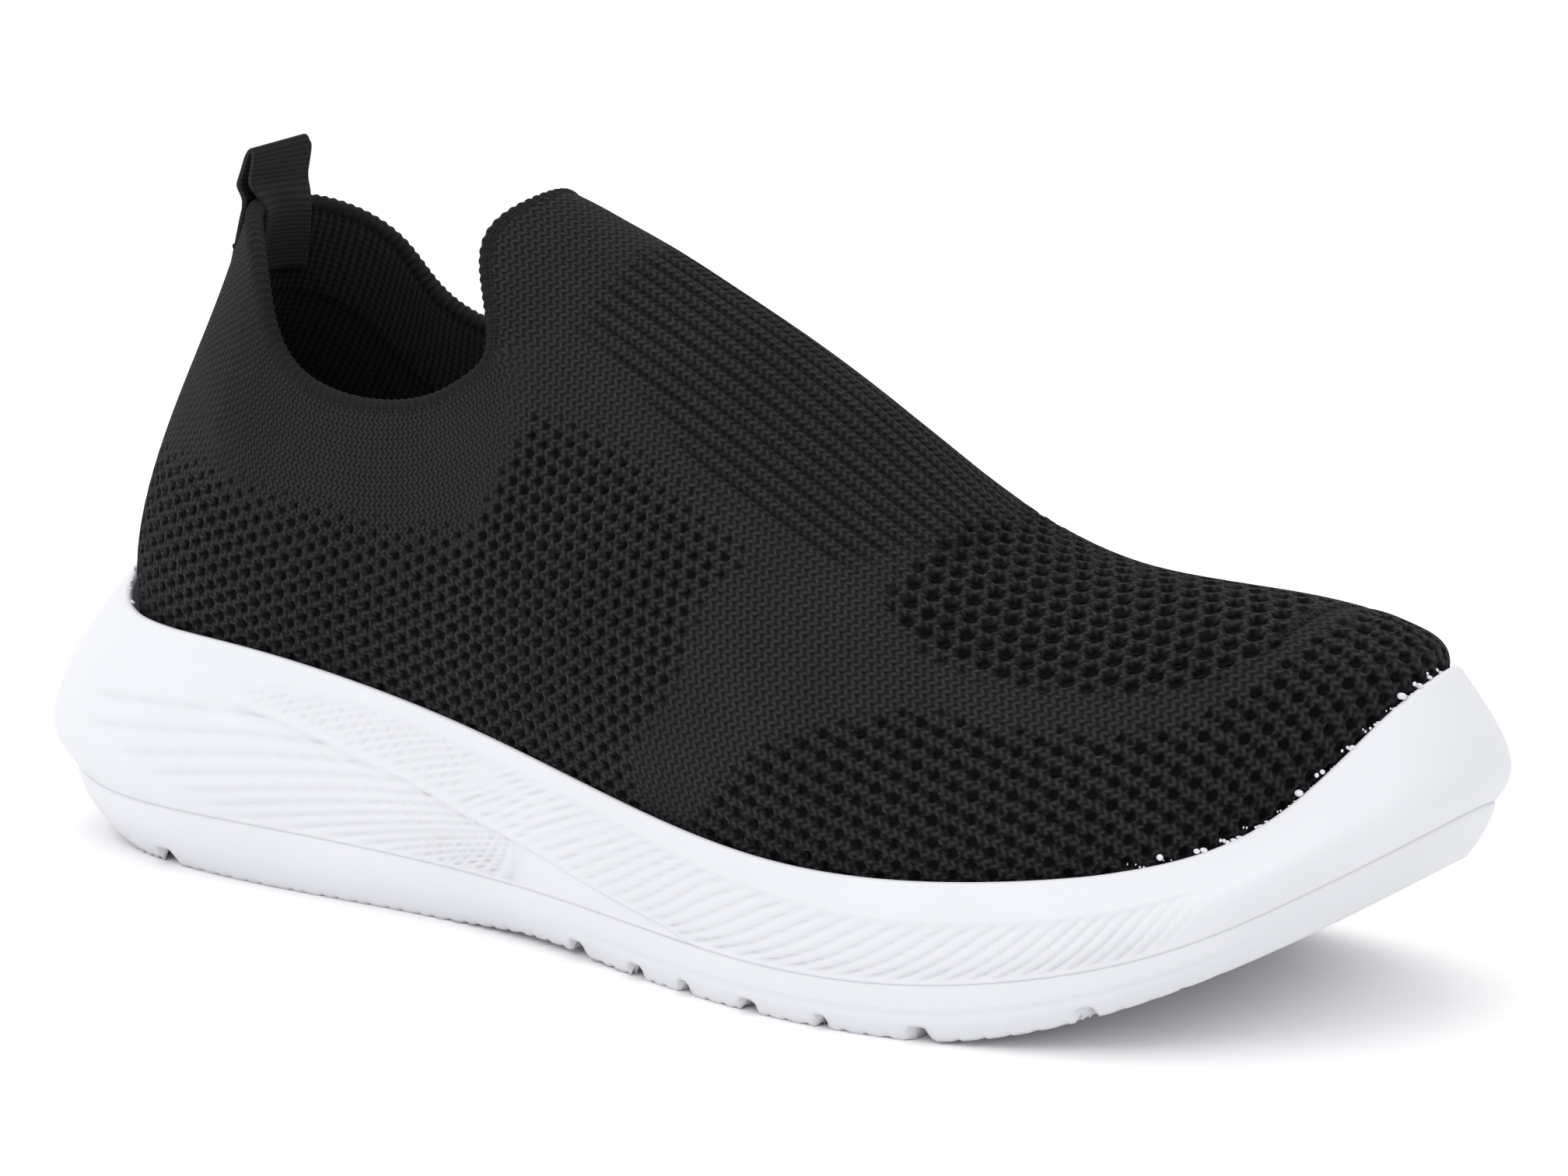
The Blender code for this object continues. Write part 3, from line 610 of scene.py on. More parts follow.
@dataclass
class SideRelief:
    """The sculpted side of the sole, over x and the share of the way from parting line to rim."""

    crest: tuple = ((40, 0.79), (47, 0.75), (66, 0.68), (83, 0.6), (96, 0.55), (108, 0.47),
                    (127, 0.4), (142, 0.3), (157, 0.18), (168, -0.05))
    band: tuple = ((30, 0.78), (45, 0.8), (66, 0.88), (83, 0.93), (146, 0.88), (181, 0.77),
                   (200, 0.7), (250, 0.66))
    strokes: tuple = ((60, 90), (108, 75), (125, 56), (145, 48), (165, 38), (225, 34), (250, 24))
    groove: float = 0.42
    groove_turn: float = 0.085
    groove_width: float = 0.17
    stroke: float = 0.38
    stroke_pitch: float = 5.2
    stroke_width: float = 0.18
    step: float = 0.8
    rim_step: float = 0.3

    def heel(self, x: Array, t: Array) -> Array:
        """The fanned grooves behind the crest.

        Args:
            x: place along the shoe.
            t: share of the way from parting line to rim.

        Returns:
            Their depth in millimetres.
        """
        level = (t - 0.01006 * (x - 75)) / (1 - 0.012 * np.clip(x - 75, -90, 45))
        turn = (0.79 - level) / self.groove_turn
        near = np.abs(turn - np.rint(turn))
        cut = np.exp(-((near / self.groove_width) ** 2)) + 0.35 * (1 - (turn - np.floor(turn)))
        start = 12 + 85 * np.clip(0.5 - t, 0, None) + 87 * np.clip(t - 0.6, 0, None)
        inside = ease(-2, 9, x - start) * ease(0.0, 0.03, through(x, self.crest) - t)
        inside *= ease(0.5, 1.0, turn) * ease(0.01, 0.06, t) * ease(130, 112, x)
        return self.groove * cut * inside

    def feather(self, x: Array, t: Array) -> Array:
        """Depth of the slanted strokes ahead of the crest."""
        run = through(x, self.strokes)
        bent = t + 0.55 * np.clip(t - 0.5, 0, None) ** 2
        warp = x + 0.006 * np.clip(x - 195, 0, None) ** 2
        turn = (warp - run * bent) / self.stroke_pitch
        near = np.abs(turn - np.rint(turn))
        cut = np.exp(-((near / self.stroke_width) ** 2)) + 0.45 * (turn - np.floor(turn))
        inside = ease(0.0, 0.07, t - np.maximum(through(x, self.crest), 0.05))
        inside *= ease(0.0, 0.09, through(x, self.band) - t)
        inside *= ease(48, 62, x) * ease(256, 238, x)
        return self.stroke * cut * inside

    def depth(self, x: Array, t: Array) -> Array:
        """Depth of all relief at places on the side wall."""
        below = through(x, self.crest) - t
        ledge = np.exp(-np.clip(below, 0, None) / 0.1) * ease(0.0, 0.035, below)
        ledge *= ease(40, 60, x) * ease(172, 150, x)
        band = through(x, self.band)
        rim = self.rim_step * ease(0.0, 0.05, band - t) * ease(40, 60, x) * ease(258, 245, x)
        rim *= ease(0.0, 0.2, t)
        return self.heel(x, t) + self.feather(x, t) + self.step * ledge + rim


@dataclass
class Sole:
    """The moulded foam cup with its relief, and the tread below the parting line."""

    stations: int = 880
    wall_rows: int = 52
    relief: SideRelief = field(default_factory=SideRelief)
    rim_edge: float = 1.4
    draft: float = 2.0
    tread_wall: float = 3.5
    lip: tuple = ((0.35, -0.3), (0.9, -0.32), (1.35, 0.0), (1.5, 0.8))
    cup_rows: int = 4
    cup_lift: float = 6
    tray_rows: int = 3
    tray_lift: float = 4.5
    band_rows: int = 16
    tread_rows: int = 46
    seam_shade: float = 0.3
    groove_shade: float = 0.35
    tread_shade: float = 0.6
    grooves: tuple = ((30, 4, 4.6), (132, 3, 2.6), (153, -4, 2.6), (167, -6, 1.8), (183, -7, 2.6),
                      (199, -8, 1.8), (217, -9, 2.6), (243, -10, 1.8))
    groove_depth: float = 2.2
    tooth_pitch: float = 3.7
    tooth_depth: float = 0.8
    bulge: float = 0.7
    ridge: float = 0.35
    line_gap: float = 0.02
    line_edge: float = 0.08

    def __post_init__(self) -> None:
        """Makes the fine last that the sole follows."""
        self.last = Last(stations=self.stations)

    def close(self, ring: Array, rows: int, height: Callable) -> list:
        """Rows that run in from a ring to the middle line, where both sides meet.

        Args:
            ring: the outermost points.
            rows: how many rows to make.
            height: the height of a row of points.

        Returns:
            The rows, outermost first.
        """
        mirrored = np.roll(ring[::-1], 1, axis=0)
        centre = (ring + mirrored) / 2
        found = []
        for share in np.linspace(0, 1, rows + 1)[1:]:
            row = ring + (centre - ring) * share
            row[:, 2] = height(row)
            found.append(row)
        found[-1] = (found[-1] + np.roll(found[-1][::-1], 1, axis=0)) / 2
        return found

    def mesh(self, name: str, rows: list, painted_shade: list) -> Mesh:
        """A closed mesh from rings of points.

        Args:
            name: the mesh's name.
            rows: the rings.
            painted_shade: how much painted shade each ring's points get, 0 to 1.

        Returns:
            The mesh.
        """
        points = np.stack(rows, axis=1)
        around = np.arange(self.stations + 1)[:, None] * np.ones(len(rows))
        pattern = np.stack([around, np.ones_like(around) * np.arange(len(rows))], axis=2)
        mesh = bent_grid(name, LAST.place(points), pattern)
        shade = np.stack(painted_shade, axis=1)
        shade = np.concatenate([shade, shade[:1]])
        i, j = np.rint(read_pattern(mesh, "pattern")).astype(int).T
        put_attribute(mesh, "painted_shade", shade[i, j])
        return mesh

    def build_midsole(self) -> Piece:
        """The foam cup, its sculpted side, its rim and the floor inside it."""
        last = self.last
        none = np.zeros(self.stations)
        x = last.plan[:, 0]
        inset, height = last.wall(0)
        underside = last.ring(inset + self.tread_wall, last.line + 0.3)
        rows = self.close(underside, self.cup_rows, lambda r: last.bottom(r[:, 0]) + self.cup_lift)[::-1]
        rows += [underside, last.ring(inset + 0.45, last.line + self.line_gap)]
        # painted shade along the parting-line seam under the midsole
        painted_shade = [none] * (self.cup_rows + 1) + [none + self.seam_shade]
        for share in np.linspace(0, 1, self.wall_rows + 1):
            inset, height = last.wall(share)
            depth = self.relief.depth(x, share + none)
            edge = self.line_edge * (1 - ease(0, 0.03, share))
            gap = self.line_gap if share == 0 else 0
            rows.append(last.ring(inset + depth + edge, height + gap))
            # painted shade in the side relief's grooves
            groove = self.relief.heel(x, share + none) + self.relief.feather(x, share + none)
            painted_shade.append(np.clip(groove, 0, 1) * self.groove_shade)
        rows += [last.ring(last.rim_inset + inward, last.rim - down) for inward, down in self.lip]
        floor = last.ring(last.rim_inset + self.rim_edge + self.draft, last.cup_floor)
        rows.append(floor)
        rows += self.close(floor, self.cup_rows, lambda r: last.cup_floor(r[:, 0]))
        painted_shade += [none] * (len(rows) - len(painted_shade))
        mesh = self.mesh("midsole_foam", rows, painted_shade)
        return Piece("midsole_foam", mesh, Finish.FOAM).stands_for("white_foam", "midsole")

    def slot(self, x: Array, y: Array) -> Array:
        """How much of the tread is cut away at a place: 1 inside a groove, 0 beside it."""
        found = np.zeros_like(x)
        for at, slant, width in self.grooves:
            away = np.abs(x - at - np.tan(np.radians(-slant)) * y)
            found = np.maximum(found, ease(width / 2 + 0.5, width / 2 - 0.3, away))
        return found

    def lugs(self, x: Array, y: Array) -> Array:
        """Fine cross lines on the tread's flat faces."""
        turn = (x + 0.35 * np.abs(y)) / self.tooth_pitch
        near = np.abs(turn - np.rint(turn)) * self.tooth_pitch
        return ease(0.75, 0.3, near)

    def build_outsole(self) -> Piece:
        """The tread: side band, bottom edge with its teeth, and the grooved underside."""
        last = self.last
        none = np.zeros(self.stations)
        x = last.plan[:, 0]
        side = last.bottom_inset * last.wall_inset
        bottom = last.ring(last.bottom_inset, last.bottom)[:, 2]
        top = last.ring(side + self.tread_wall, last.line)
        rows = self.close(top, self.tray_rows, lambda r: last.bottom(r[:, 0]) + self.tray_lift)[::-1]
        rows += [top, last.ring(side + 0.5, last.line)]
        # painted shade along the parting-line seam above the tread
        painted_shade = [none] * (self.tray_rows + 1) + [none + self.seam_shade]
        cut = self.slot(x, last.plan[:, 1])
        teeth = self.lugs(x, last.plan[:, 1]) * 0.35 * (1 - cut) * ease(258, 240, x)
        for share in np.linspace(0, 1, self.band_rows + 1):
            belly = np.sin(np.pi * share) * self.bulge * ease(270, 240, x)
            inset = side + (last.bottom_inset - side) * share**1.6 - belly
            inset += self.line_edge * (1 - ease(0, 0.06, share))
            ridge = self.ridge * np.exp(-(((share - 0.52) / 0.05) ** 2))
            inset += ridge * ease(120, 150, x) * ease(268, 250, x)
            height = last.line + (bottom - last.line) * share
            lift = cut * self.groove_depth * ease(0.7, 0.95, share)
            lift += teeth * 1.3 * ease(0.85, 1, share)
            rows.append(last.ring(inset + 0.5 * cut * ease(0.6, 1, share), height + lift))
            painted_shade.append(none)
        edge = last.ring(last.bottom_inset, last.bottom)
        for row in self.close(edge, self.tread_rows, lambda r: last.bottom(r[:, 0])):
            cut_here = self.slot(row[:, 0], row[:, 1])
            toothed = self.lugs(row[:, 0], row[:, 1]) * (1 - cut_here) * self.tooth_depth
            toothed *= ease(262, 245, row[:, 0])
            row[:, 2] += cut_here * self.groove_depth + toothed
            rows.append(row)
            # painted shade in the tread's grooves and between its teeth
            painted_shade.append(np.maximum(cut_here, toothed) * self.tread_shade)
        mesh = self.mesh("outsole_tread", rows, painted_shade)
        return Piece("outsole_tread", mesh, Finish.TREAD).stands_for("white_rubber", "outsole")

    def build(self) -> None:
        """Makes both layers of the sole."""
        self.build_midsole()
        self.build_outsole()


@dataclass
class CementFlecks:
    """Small frayed flecks of dried white cement where the knit meets the rim."""

    count: int = 90
    stretches: tuple = ((0.36, 0.5, 0.8), (0.02, 0.09, 0.2))
    size: tuple = (0.1, 0.36)
    steps: tuple = (0.618034, 0.414214, 0.732051)

    def build(self) -> None:
        """Scatters the flecks along the toe's rim and a few along the heel's."""
        last = Last(stations=Sole.stations)
        line = last.ring(last.rim_inset + 1.0, last.rim)
        small, large = self.size
        bm = bmesh.new()
        for start, end, share in self.stretches:
            for n in range(int(self.count * share)):
                along, other, third = ((n * step) % 1 for step in self.steps)
                spot = int((start + (end - start) * along) * len(line))
                radius = small + (large - small) * other**2
                made = bmesh.ops.create_icosphere(bm, subdivisions=2, radius=radius * MM)["verts"]
                shape = (0.7 + 1.6 * other, 0.7 + third, 0.6 + 1.4 * third)
                bmesh.ops.scale(bm, verts=made, vec=shape)
                lift = line[spot] + (0, 0, 0.1 + 1.6 * third**2)
                bmesh.ops.translate(bm, verts=made, vec=LAST.place(lift))
        mesh = to_mesh(bm, "flecks")
        # the flecks get no painted shade
        put_attribute(mesh, "painted_shade", np.zeros(len(mesh.vertices)))
        Piece("cement_flecks", mesh, Finish.FOAM).stands_for("white_foam")


@dataclass
class Cage:
    """The upper's control points: rings up the sides, and rows across instep and tongue."""

    collar_front: int = 10
    across: int = 4
    hem: float = 3.7
    top_line: tuple = (
        (35, 0, 120, 120, -5, 0, -24, 2.5, 20), (39, 11, 119.5, 119.5, -6, 3, -22, 2.5, 20),
        (49.5, 22, 109.5, 111.5, -3, 2, -18, 2, 18), (60.5, 26, 91.5, 98, 0, 2, -14, 3, 17),
        (91, 27, 89.5, 93, 2, 4, -12, 4, 18), (106, 23.5, 100, 100, 4, 7, -14, 4, 18),
        (134, 18, 102, 102, 2, 12, -14, 3, 18), (176, 18, 81, 81, 2, 14, -13, 3, 15),
        (213, 19, 65.5, 66, 2, 15, -8, 3, 12), (238, 18, 64, 64.5, 3, 11, -5, 2, 11),
        (254, 12, 64.5, 65, 5, 7, -4, 1, 8), (263, 0, 66, 66, 6, 0, -2.5, 1, 3.5),
    )
    instep: tuple = (127.5, 124.2, 117, 109, 101.4, 92.6, 79.8, 71.8, 70.3, 69.2, 68, 64.5)
    instep_from: float = 100
    instep_step: float = 15
    lean: float = 9
    toe_turn: tuple = (170, 95, 7)
    tongue: tuple = ((96.5, 14, 120.5, 103.5, 127), (100, 18, 112, 109.5, 125.8))
    shares: tuple = (0.14, 0.29, 0.45, 0.61, 0.8, 1.0)

    def __post_init__(self) -> None:
        """Works out the control points once."""
        self.last = LAST
        self.toe = self.last.stations // 2
        self.rings = self.build_rings()
        self.rows = self.build_rows()
        self.down = self.work_out_down()
        self.around = self.work_out_around()

    def middle(self, x: Array) -> Array:
        """y of the shoe's middle line at x."""
        start, length, turn = self.toe_turn
        return turn * np.clip((np.asarray(x, float) - start) / length, 0, None) ** 2

    def crown(self, x: Array) -> Array:
        """Height of the middle of the instep at x."""
        row = (np.asarray(x, float) - self.instep_from) / self.instep_step
        return spline(self.instep, np.clip(row, 0, len(self.instep) - 1))

    def build_rings(self) -> Array:
        """Rings from the hem in the sole's cup up to the top line."""
        o = self.last
        outer = [list(row[:3]) + list(row[4:]) for row in self.top_line]
        inner = [[row[0], row[1], row[3], *row[4:]] for row in self.top_line]
        for row in outer:
            row[1], row[4] = -row[1], -row[4]
        rows = outer + inner[-2:0:-1]
        at = np.arange(o.stations) * len(rows) / o.stations
        x, y, z, ahead, out, up, leave_out, leave_up = spline(rows, at, closed=True).T
        foot = o.ring(o.rim_inset + 1.7, o.rim)
        top = np.c_[x, y + self.middle(x), z]
        first = foot + np.c_[o.outward * leave_out[:, None], leave_up]
        second = top + np.c_[ahead, out, up]
        rings = [o.ring(o.rim_inset + self.hem, o.cup_floor) + (0, 0, 0.3), foot]
        for g in self.shares:
            a = 1 - g
            rings.append(a**3 * foot + 3 * a * a * g * first + 3 * a * g * g * second + g**3 * top)
        return np.stack(rings, axis=1)

    def cross(self, a: Array, b: Array, c: Array) -> list:
        """Points over a crowned middle.

        Args:
            a: the end at the outer side.
            b: the top of the middle.
            c: the end at the inner side.

        Returns:
            The points, from a to c.
        """
        lift = 4 / 3 * (b - (a + c) / 2)
        spread = (c - a) / 3
        line = [a]
        for q in range(1, self.across):
            t = q / self.across
            s = 1 - t
            line.append(s**3 * a + 3 * s * s * t * (a + spread + lift)
                        + 3 * s * t * t * (c - spread + lift) + t**3 * c)
        return [*line, c]

    def build_rows(self) -> Array:
        """Rows across the tongue and the instep, from the tongue's top edge to the toe."""
        top = self.rings[:, -1]
        rows = []
        for x, half, z, crown_x, crown_z in self.tongue:
            side = np.array([x, half, z])
            rows.append(self.cross(side * (1, -1, 1), np.array([crown_x, 0, crown_z]), side))
        for i in range(self.collar_front, self.toe):
            a, b = top[i], top[-i]
            share = (i - self.collar_front) / (self.toe - self.collar_front)
            x = (a[0] + b[0]) / 2 + self.lean * (1 - share) ** 2
            rows.append(self.cross(a, np.array([x, self.middle(x), self.crown(x)]), b))
        rows.append([top[self.toe]] * (self.across + 1))
        return np.array(rows)

    def work_out_down(self) -> Array:
        """Length of wall between each ring point and the top line."""
        steps = np.linalg.norm(np.diff(self.rings, axis=1), axis=2)
        from_top = np.cumsum(steps[:, ::-1], axis=1)[:, ::-1]
        return np.c_[from_top, np.zeros(len(from_top))]

    def work_out_around(self) -> Array:
        """Length round the shoe to each station, made a whole number of stitches."""
        ring = self.rings[:, 4]
        steps = np.linalg.norm(np.roll(ring, -1, 0) - ring, axis=1)
        total = steps.sum()
        around = np.r_[0, np.cumsum(steps)]
        return around * (round(total / 20) * 20 / total)

    def opening(self) -> tuple[Array, Array]:
        """The foot opening's edge and the wall's outward direction there.

        Returns:
            Control points and directions, from the heel along the outer side and over the tongue.
        """
        top = self.rings[:, -1]
        below = self.rings[:, -2]
        n = self.collar_front
        r = self.rows
        tongue = len(self.tongue)
        edge = [*top[: n + 1], *r[tongue - 1::-1, 0], *r[0, 1:-1], *r[:tongue, -1], *top[-n:]]
        under = [*below[: n + 1], *r[tongue - 1::-1, 1], *r[1, 1:-1], *r[:tongue, -2], *below[-n:]]
        edge, under = np.array(edge), np.array(under)
        along = np.roll(edge, -1, 0) - np.roll(edge, 1, 0)
        return edge, unit(np.cross(under - edge, along))

    def mesh(self, name: str, depth: float = 0) -> Mesh:
        """The coarse mesh, set in from the outer surface.

        Args:
            name: the mesh's name.
            depth: how deep each point lies below the outer surface, in millimetres.

        Returns:
            A mesh with its edge map; its seam runs down the back of the heel.
        """
        bm = bmesh.new()
        edge = bm.loops.layers.uv.new("edge")
        bm.loops.layers.uv.new("pattern")
        for points, closed in ((self.rings, True), (self.rows, False)):
            points = np.concatenate([points, points[:1]]) if closed else points
            columns, rows = points.shape[0] - 1, points.shape[1] - 1
            made = bmesh.ops.create_grid(bm, x_segments=columns, y_segments=rows, size=0.5)["verts"]
            spot = {v: (round((v.co.x + 0.5) * columns), round((v.co.y + 0.5) * rows)) for v in made}
            for face in {f for v in made for f in v.link_faces}:
                for loop in face.loops:
                    i, j = spot[loop.vert]
                    if closed:
                        loop[edge].uv = (self.around[i], self.down[i % len(self.down), j])
                    else:
                        loop[edge].uv = (points[i, j, 0], -1)
                for e in face.edges:
                    e.seam = e.seam or (closed and all(spot[v][0] == 0 for v in e.verts))
            placed = LAST.place(points)
            for v, (i, j) in spot.items():
                v.co = placed[i, j]
        bmesh.ops.remove_doubles(bm, verts=bm.verts, dist=WELD)
        bmesh.ops.recalc_face_normals(bm, faces=bm.faces)
        highest = max(bm.faces, key=lambda f: f.calc_center_median().z)
        if highest.normal.z < 0:
            bmesh.ops.reverse_faces(bm, faces=bm.faces)
        bm.normal_update()
        if depth:
            moves = [(v, v.normal * depth * MM) for v in bm.verts]
            for v, move in moves:
                v.co -= move
        return to_mesh(bm, name)


def refine(mesh: Mesh, levels: int) -> Mesh:
    """A mesh smoothed by subdivision.

    Args:
        mesh: the coarse mesh.
        levels: how often each face is divided.

    Returns:
        The fine mesh.
    """
    holder = add_object("holder", mesh)
    smoother = holder.modifiers.new("smooth", "SUBSURF")
    smoother.levels = smoother.render_levels = levels
    smoother.uv_smooth = "PRESERVE_BOUNDARIES"
    fine = bpy.data.meshes.new_from_object(
        holder.evaluated_get(bpy.context.evaluated_depsgraph_get()))
    bpy.data.objects.remove(holder)
    return fine


def lay_flat(mesh: Mesh) -> None:
    """Fills the pattern map: the upper laid flat as it comes off the knitting machine.

    Its first coordinate runs to the toe and its second to the inner side, both in millimetres.

    Args:
        mesh: the upper's coarse mesh, with its seam down the heel.
    """
    holder = add_object("holder", mesh)
    bpy.context.view_layer.objects.active = holder
    holder.select_set(True)
    mesh.uv_layers.active = mesh.uv_layers["pattern"]
    bpy.ops.object.mode_set(mode="EDIT")
    bpy.ops.mesh.select_all(action="SELECT")
    bpy.ops.uv.unwrap(method="MINIMUM_STRETCH", iterations=60, margin=0)
    bpy.ops.object.mode_set(mode="OBJECT")
    bpy.data.objects.remove(holder)
    layer = mesh.uv_layers["pattern"].data
    uv = read(layer, "uv", 2).astype(float)
    points = read_points(mesh)[read_corners(mesh)] / MM + (*LAST.middle, 0)
    middle = (np.abs(points[:, 1]) < 4) & (points[:, 2] > 60) & (points[:, 0] > 100)
    back = uv[middle & (points[:, 0] < 160)].mean(0)
    front = uv[middle & (points[:, 0] > 190)].mean(0)
    ahead = (front - back) / np.linalg.norm(front - back)
    aside = np.array([-ahead[1], ahead[0]])
    inner = uv[(points[:, 1] > 25) & (points[:, 0] > 150)].mean(0)
    if (inner - back) @ aside < 0:
        aside = -aside
    wide = (points[:, 0] > 120) & (points[:, 0] < 240) & (points[:, 2] > 45)
    spread = np.ptp(points[wide, 0]) / np.ptp(uv[wide] @ ahead)
    flat = np.stack([(uv - back) @ ahead, (uv - back) @ aside], axis=1) * spread
    flat[:, 0] += 140
    write(layer, "uv", flat)


def hexagons(u: Array, v: Array, pitch: float) -> Array:
    """A field with a peak of 1 at each point of a staggered pattern.

    Args:
        u: place along the rows.
        v: place across the rows.
        pitch: distance between points of one row.

    Returns:
        The field's height at each place.
    """
    k = 4 * math.pi / (math.sqrt(3) * pitch)
    turns = (math.pi / 2, math.pi / 6, 5 * math.pi / 6)
    return sum(np.cos(k * (u * math.cos(a) + v * math.sin(a))) for a in turns) / 3


@dataclass
class KnitZones:
    """Where the knit changes: plain collar, ribs, open mesh and honeycomb."""

    collar: tuple = ((20, 80), (42, 78.4), (58, 75.5), (73, 74.7), (88, 72.6), (107, 75), (112, 86),
                     (116, 95), (129, 92.6), (136, 90.8), (153, 82.7), (169, 72.4), (193, 62))
    saddle_back: tuple = ((28, 153), (39, 150), (47, 157), (54, 160), (66, 161), (72, 169), (90, 175))
    saddle_front: tuple = ((28, 160), (34, 163), (43, 173), (51, 186), (57, 196), (66, 204))
    toe_top: tuple = ((180, 48), (200, 53), (215, 51), (231, 51), (243, 53), (250, 58), (256, 66),
                      (262, 75))
    honey_low: tuple = ((186, 65), (199, 58), (215, 54.5), (231, 54.5), (243, 56.5), (250, 61))
    honey_back: tuple = ((0, 194), (18, 188), (29, 186), (33, 194))
    rib_low: tuple = ((122, 104), (134, 97), (151, 83), (177, 71.5), (193, 69))
    rib_back: tuple = ((0, 124), (10, 121), (18, 118), (24, 116))
    rib_front: tuple = ((0, 200), (14, 199), (27, 184))

    mesh_pitch: float = 2.9
    toe_pitch: float = 3.3
    honey_pitch: float = 3.5
    rib_pitch: float = 2.8
    mesh_depth: float = 0.95
    toe_depth: float = 0.9
    honey_depth: float = 1.15
    rib_depth: float = 0.6
    crease_depth: float = 0.5

    def __init__(self, points: Array, pattern: Array, middle: Callable) -> None:
        """Takes the places where the zones are wanted.

        Args:
            points: places in millimetres from near the heel.
            pattern: the same places on the knit laid flat.
            middle: y of the shoe's middle line as a function of x.
        """
        self.x, self.y, self.z = points.T
        self.u, self.v = pattern.T
        self.lat = np.abs(self.y - middle(self.x))

    def quarter(self) -> Array:
        """How open the mesh of the heel and midfoot is, 0 to 1."""
        return (ease(-1, 9, through(self.x, self.collar) - self.z)
                * ease(-1, 8, through(self.z, self.saddle_back) - self.x))

    def forefoot(self) -> Array:
        """How open the mesh round the toe is."""
        return (ease(-1, 4, self.x - through(self.z, self.saddle_front))
                * ease(-1, 3, through(self.x, self.toe_top) - self.z))

    def honeycomb(self) -> Array:
        """How open the honeycomb over the toes is."""
        return (ease(-1, 4, self.x - through(self.lat, self.honey_back))
                * ease(-1, 3, self.z - through(self.x, self.honey_low)) * ease(253, 248, self.x))

    def ribs(self) -> Array:
        """Where the instep is ribbed."""
        return (ease(-2, 4, self.x - through(self.lat, self.rib_back))
                * ease(-2, 2, self.z - through(self.x, self.rib_low))
                * ease(-2, 8, through(self.lat, self.rib_front) - self.x))

    def crease(self) -> Array:
        """The soft fold across the toes."""
        away = np.abs(self.x - 252.3 - 0.18 * self.y)
        return np.exp(-((away / 0.8) ** 2)) * ease(24, 14, self.lat) * ease(52, 58, self.z)

    def relief(self) -> tuple[Array, Array]:
        """The knit's relief.

        Returns:
            How deep the surface lies and how dark its openings are, at each point.
        """
        quarter = self.quarter()
        grid = hexagons(self.u, self.v, self.mesh_pitch)
        size = ease(0.7 - 0.75 * quarter, 1.0 - 0.5 * quarter, grid) * (quarter > 0.02)
        depth = self.mesh_depth * size * quarter
        # painted shade in the open mesh's holes
        dark = size * ease(0, 0.4, quarter)

        toe = self.forefoot()
        grid = hexagons(self.u, self.v, self.toe_pitch)
        small = hexagons(self.u + self.toe_pitch / 2, self.v, self.toe_pitch)
        big = ease(0.75 - 0.75 * toe, 1.0 - 0.5 * toe, grid) * (toe > 0.02)
        little = ease(0.55, 0.85, small) * toe
        depth += (self.toe_depth * big + 0.5 * little) * toe
        # painted shade in the toe mesh's holes
        dark += big * ease(0, 0.4, toe) + 0.6 * little

        honey = self.honeycomb()
        grid = hexagons(self.u, self.v, self.honey_pitch)
        cell = ease(0.4 - 0.65 * honey, 0.85 - 0.6 * honey, grid) * (honey > 0.02)
        depth += self.honey_depth * cell * honey
        # painted shade in the honeycomb's cells
        dark += cell * honey

        ribs = self.ribs()
        line = 0.5 + 0.5 * np.cos(FULL_TURN * self.v / self.rib_pitch)
        depth += self.rib_depth * ribs * line**2
        # painted shade in the rib grooves
        dark += 0.85 * ribs * line**3
        crease = self.crease()
        depth += self.crease_depth * crease
        # painted shade along the toe crease
        dark += 0.7 * crease
        return depth, np.clip(dark, 0, 1)


